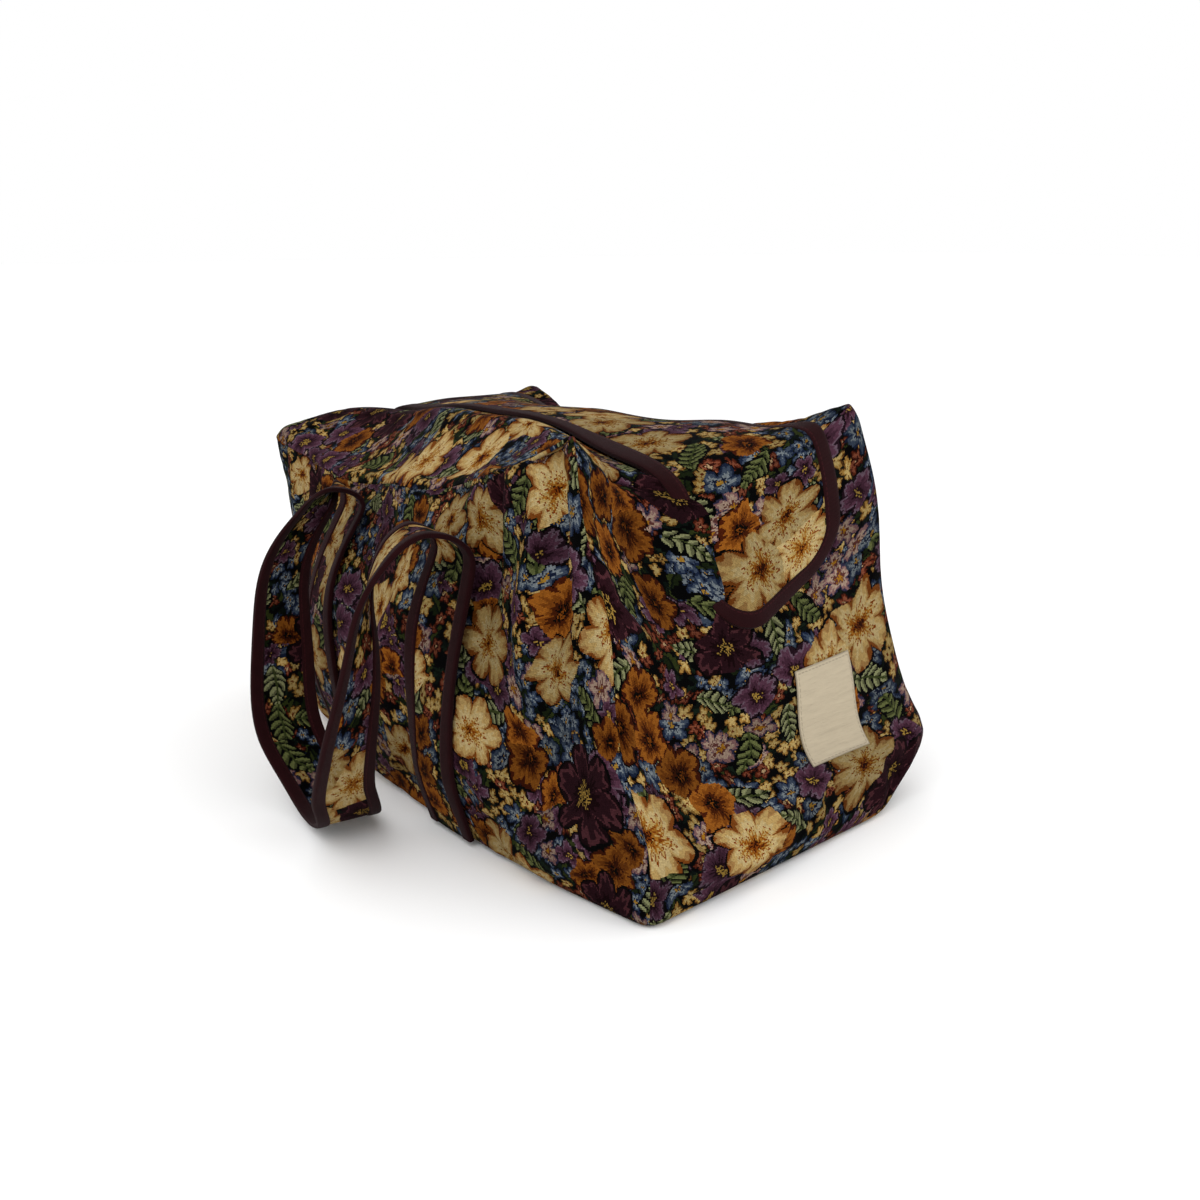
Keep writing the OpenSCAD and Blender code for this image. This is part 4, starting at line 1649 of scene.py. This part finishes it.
    def build(self) -> None:
        """Shapes the flap and its binding."""
        s = self.skin.size
        right = self.end_rows(1, s.flap_right_tip, 16)
        left = self.end_rows(-1, s.flap_left_tip, 16)[::-1]
        self.grid = eased(np.concatenate([right, self.top_rows(60), left]), 6)
        self.run = run_along(self.grid[:, self.columns // 2])
        inset = s.binding_w - s.flap_lap
        d = self.stations(inset)
        w = np.linspace(1, -1, 21)[None, :] * self.half(d, inset)[:, None]
        d2 = np.broadcast_to(d[:, None], w.shape)
        pts = self.at(d2, w) + self.normal(d2, w) * (s.cloth / 2)
        uv = np.stack([w * s.flap_w / 2 * MM + 12.0, d2 * MM], axis=-1)
        self.cloth = grid_object("flap_cloth", pts[:, ::-1], uv[:, ::-1])
        thicken(self.cloth, s.cloth * MM)
        self.build_binding()

    def build_binding(self) -> None:
        """Shapes the binding as a closed ring round the flap."""
        s = self.skin.size
        across, through = section(14)
        rings = []
        for inset in (0.0, s.binding_w):
            d = self.stations(inset)
            w = self.half(d, inset)
            rings.append((np.concatenate([d, d[::-1]]), np.concatenate([-w, w[::-1]])))
        share = (across + 1) / 2
        d = mix(rings[0][0][:, None], rings[1][0][:, None], share[None])
        w = np.clip(mix(rings[0][1][:, None], rings[1][1][:, None], share[None]), -1, 1)
        pts = self.at(d, w) + self.normal(d, w) * (through * s.binding_t / 2)[None, :, None]
        pts = np.concatenate([pts, pts[:1]])
        u = np.broadcast_to(share * s.binding_w * MM, pts.shape[:2])
        v = np.broadcast_to(run_along(pts[:, 0])[:, None] * MM, pts.shape[:2])
        self.binding = tube_object("flap_tape", pts, np.stack([u, v], axis=-1), closed=True)

    def dress(self, cloth: Any, tape: Any) -> None:
        """Dresses the flap and its binding.

        Args:
            cloth: The tapestry.
            tape: Finish of the tape.
        """
        enlist(self.cloth, "closing_flap", cloth)
        enlist(self.binding, "flap_binding", tape)


@dataclass
class Label:
    """The bare cream patch on the right end."""

    skin: Skin
    obj: Any = None

    def build(self) -> None:
        """Shapes the patch on the end panel, a little padded and crinkled."""
        s = self.skin.size
        p, q = spread(31, 31)
        middle = s.label_back / self.skin.half_w
        reach = self.skin.half_w + 1.5 * s.right_swell * ((1 + middle) / 2) ** 2
        b = middle + (p - 0.5) * s.label_w / reach
        z = s.label_height + (q - 0.5) * s.label_h
        a = np.ones_like(b)
        h = z / self.skin.rim(a, b)
        edge = edge_share(p, q)
        puff = 0.9 * ramp_up(edge, 0, 0.08) ** 0.5 + 0.25 * np.sin(q * 40) * ramp_up(edge, 0, 0.2)
        out = s.label_gap + s.label_t + puff
        pts = np.stack([self.skin.along(a, b, h) + out, self.skin.across(a, b, h), z], axis=-1)
        uv = np.stack([p * s.label_w, q * s.label_h], axis=-1) * MM
        self.obj = grid_object("label_patch", self.skin.turned(pts), uv)
        thicken(self.obj, s.label_t * MM)

    def dress(self, material: Any) -> None:
        """Dresses the patch."""
        enlist(self.obj, "label", material)


@dataclass
class Zip:
    """The zip under the flap: tapes are made anew, and the metal pieces keep their own shape."""

    tapes: List[Any] = field(default_factory=list)

    def build(self) -> None:
        """Shapes the two tapes from the places of the frame's own."""
        for word in ("front", "back"):
            low, high = (np.array(v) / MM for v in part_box(f"{word}_zip_tape"))
            p, q = np.meshgrid(np.linspace(low[0], high[0], 60), np.linspace(low[1], high[1], 6))
            ripple = 0.3 * np.abs(np.sin(p / 9.0))
            pts = np.stack([p, q, np.full_like(p, high[2] - 0.1) - ripple], axis=-1)
            obj = grid_object(f"{word}_tape_cloth", pts, np.stack([p, q], axis=-1) * MM, slump=False)
            thicken(obj, TAPE_THICK)
            self.tapes.append(obj)

    def dress(self, tape: Any, metal: Any) -> None:
        """Dresses tapes and metal pieces.

        Args:
            tape: Finish of the tape.
            metal: Finish of the metal pieces.
        """
        for obj, word in zip(self.tapes, ("front", "back")):
            enlist(obj, f"{word}_zip_tape", tape)
        for node in ("front_teeth", "back_teeth", "zip_stops", "zip_slider", "zip_pull"):
            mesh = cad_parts[node].data
            mesh.materials.clear()
            mesh.materials.append(metal)


@dataclass(frozen=True)
class Lamp:
    """One soft square light aimed at the bag, in metres and watts."""

    name: str
    place: Tuple[float, float, float]
    size: float
    power: float
    aim: Tuple[float, float, float] = (0.0, 0.0, 0.12)

    def build(self) -> None:
        """Adds the light to the stage."""
        data = bpy.data.lights.new(self.name, "AREA")
        data.size = self.size
        data.energy = self.power
        obj = bpy.data.objects.new(self.name, data)
        bpy.context.scene.collection.objects.link(obj)
        obj.location = self.place
        way = np.array(self.aim) - np.array(self.place)
        flat = math.hypot(way[0], way[1])
        obj.rotation_euler = (math.atan2(flat, -way[2]), 0.0, math.atan2(way[1], way[0]) - math.pi / 2)


@dataclass
class Studio:
    """Pale floor, soft light and the photograph's camera."""

    eye: Tuple[float, float, float] = (0.892, -0.474, 0.385)
    azimuth: float = 59.0
    pitch: float = 14.5
    lens: float = 43.44
    sensor: float = 36.0
    sky: float = 1.12
    floor_tone: float = 0.92
    lamps: Tuple[Lamp, ...] = (
        Lamp("key", (1.3, -1.5, 1.9), 1.6, 22.0),
        Lamp("fill", (1.9, 0.7, 1.0), 1.4, 9.0),
    )

    def build(self) -> None:
        """Builds floor, world, lights and camera."""
        self.floor()
        self.world()
        for lamp in self.lamps:
            lamp.build()
        self.camera()
        bpy.context.scene.view_settings.view_transform = "Standard"

    def floor(self) -> None:
        """The pale floor."""
        bpy.ops.object.select_all(action="DESELECT")
        bpy.ops.mesh.primitive_plane_add(size=30.0, location=(0, 0, 0))
        floor = bpy.context.active_object
        floor.name = "floor"
        material = start_material("floor_white", colour=(self.floor_tone,) * 3, roughness=0.9)[0]
        floor.data.materials.append(material)

    def world(self) -> None:
        """An even white sky, a little stronger as light than it looks."""
        scene = bpy.context.scene
        scene.world = scene.world or bpy.data.worlds.new("studio")
        scene.world.use_nodes = True
        tree = scene.world.node_tree
        background = tree.nodes["Background"]
        background.inputs[0].default_value = (1.0, 1.0, 1.0, 1.0)
        seen = tree.nodes.new("ShaderNodeLightPath").outputs["Is Camera Ray"]
        maker = NodeMaker(tree)
        maker.put(background.inputs[1], maker.math("MULTIPLY_ADD", seen, 1.0 - self.sky, self.sky))

    def camera(self) -> None:
        """The photograph's camera."""
        camera = bpy.data.objects.new("camera", bpy.data.cameras.new("camera"))
        bpy.context.scene.collection.objects.link(camera)
        camera.location = self.eye
        camera.rotation_euler = (math.radians(90 - self.pitch), 0.0, math.radians(self.azimuth))
        camera.data.sensor_width = self.sensor
        camera.data.lens = self.lens
        bpy.context.scene.camera = camera


def main() -> None:
    """Builds the bag in order and reports each step."""
    logging.basicConfig(level=logging.INFO)
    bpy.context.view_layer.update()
    size = BagSizes()
    skin = Skin(size)
    tapestry = TapestryFinish("tapestry").make()
    tape = ClothFinish("oxblood_tape", srgb(29, 7, 9), stitch=0.0072).make()
    cream = LabelFinish("label_cream", srgb(162, 150, 128), size.label_w * MM, size.label_h * MM).make()
    dark = ClothFinish("zip_tape", srgb(30, 22, 22)).make()
    metal = MetalFinish("dull_brass", srgb(150, 128, 84), 0.4).make()
    body = Body(skin)
    body.build()
    body.dress(tapestry)
    for facing in Facing:
        handle = Handle(skin, facing)
        handle.build()
        handle.dress(tapestry, tape)
        LOG.info("%s strap is %.3f m long", facing.name.lower(), handle.length)
    flap = Flap(skin)
    flap.build()
    flap.dress(tapestry, tape)
    LOG.info("flap is %.3f m long", float(flap.run[-1]) * MM)
    label = Label(skin)
    label.build()
    label.dress(cream)
    closure = Zip()
    closure.build()
    closure.dress(dark, metal)
    Studio().build()
    LOG.info("sizes written")


if __name__ == "__main__":
    main()
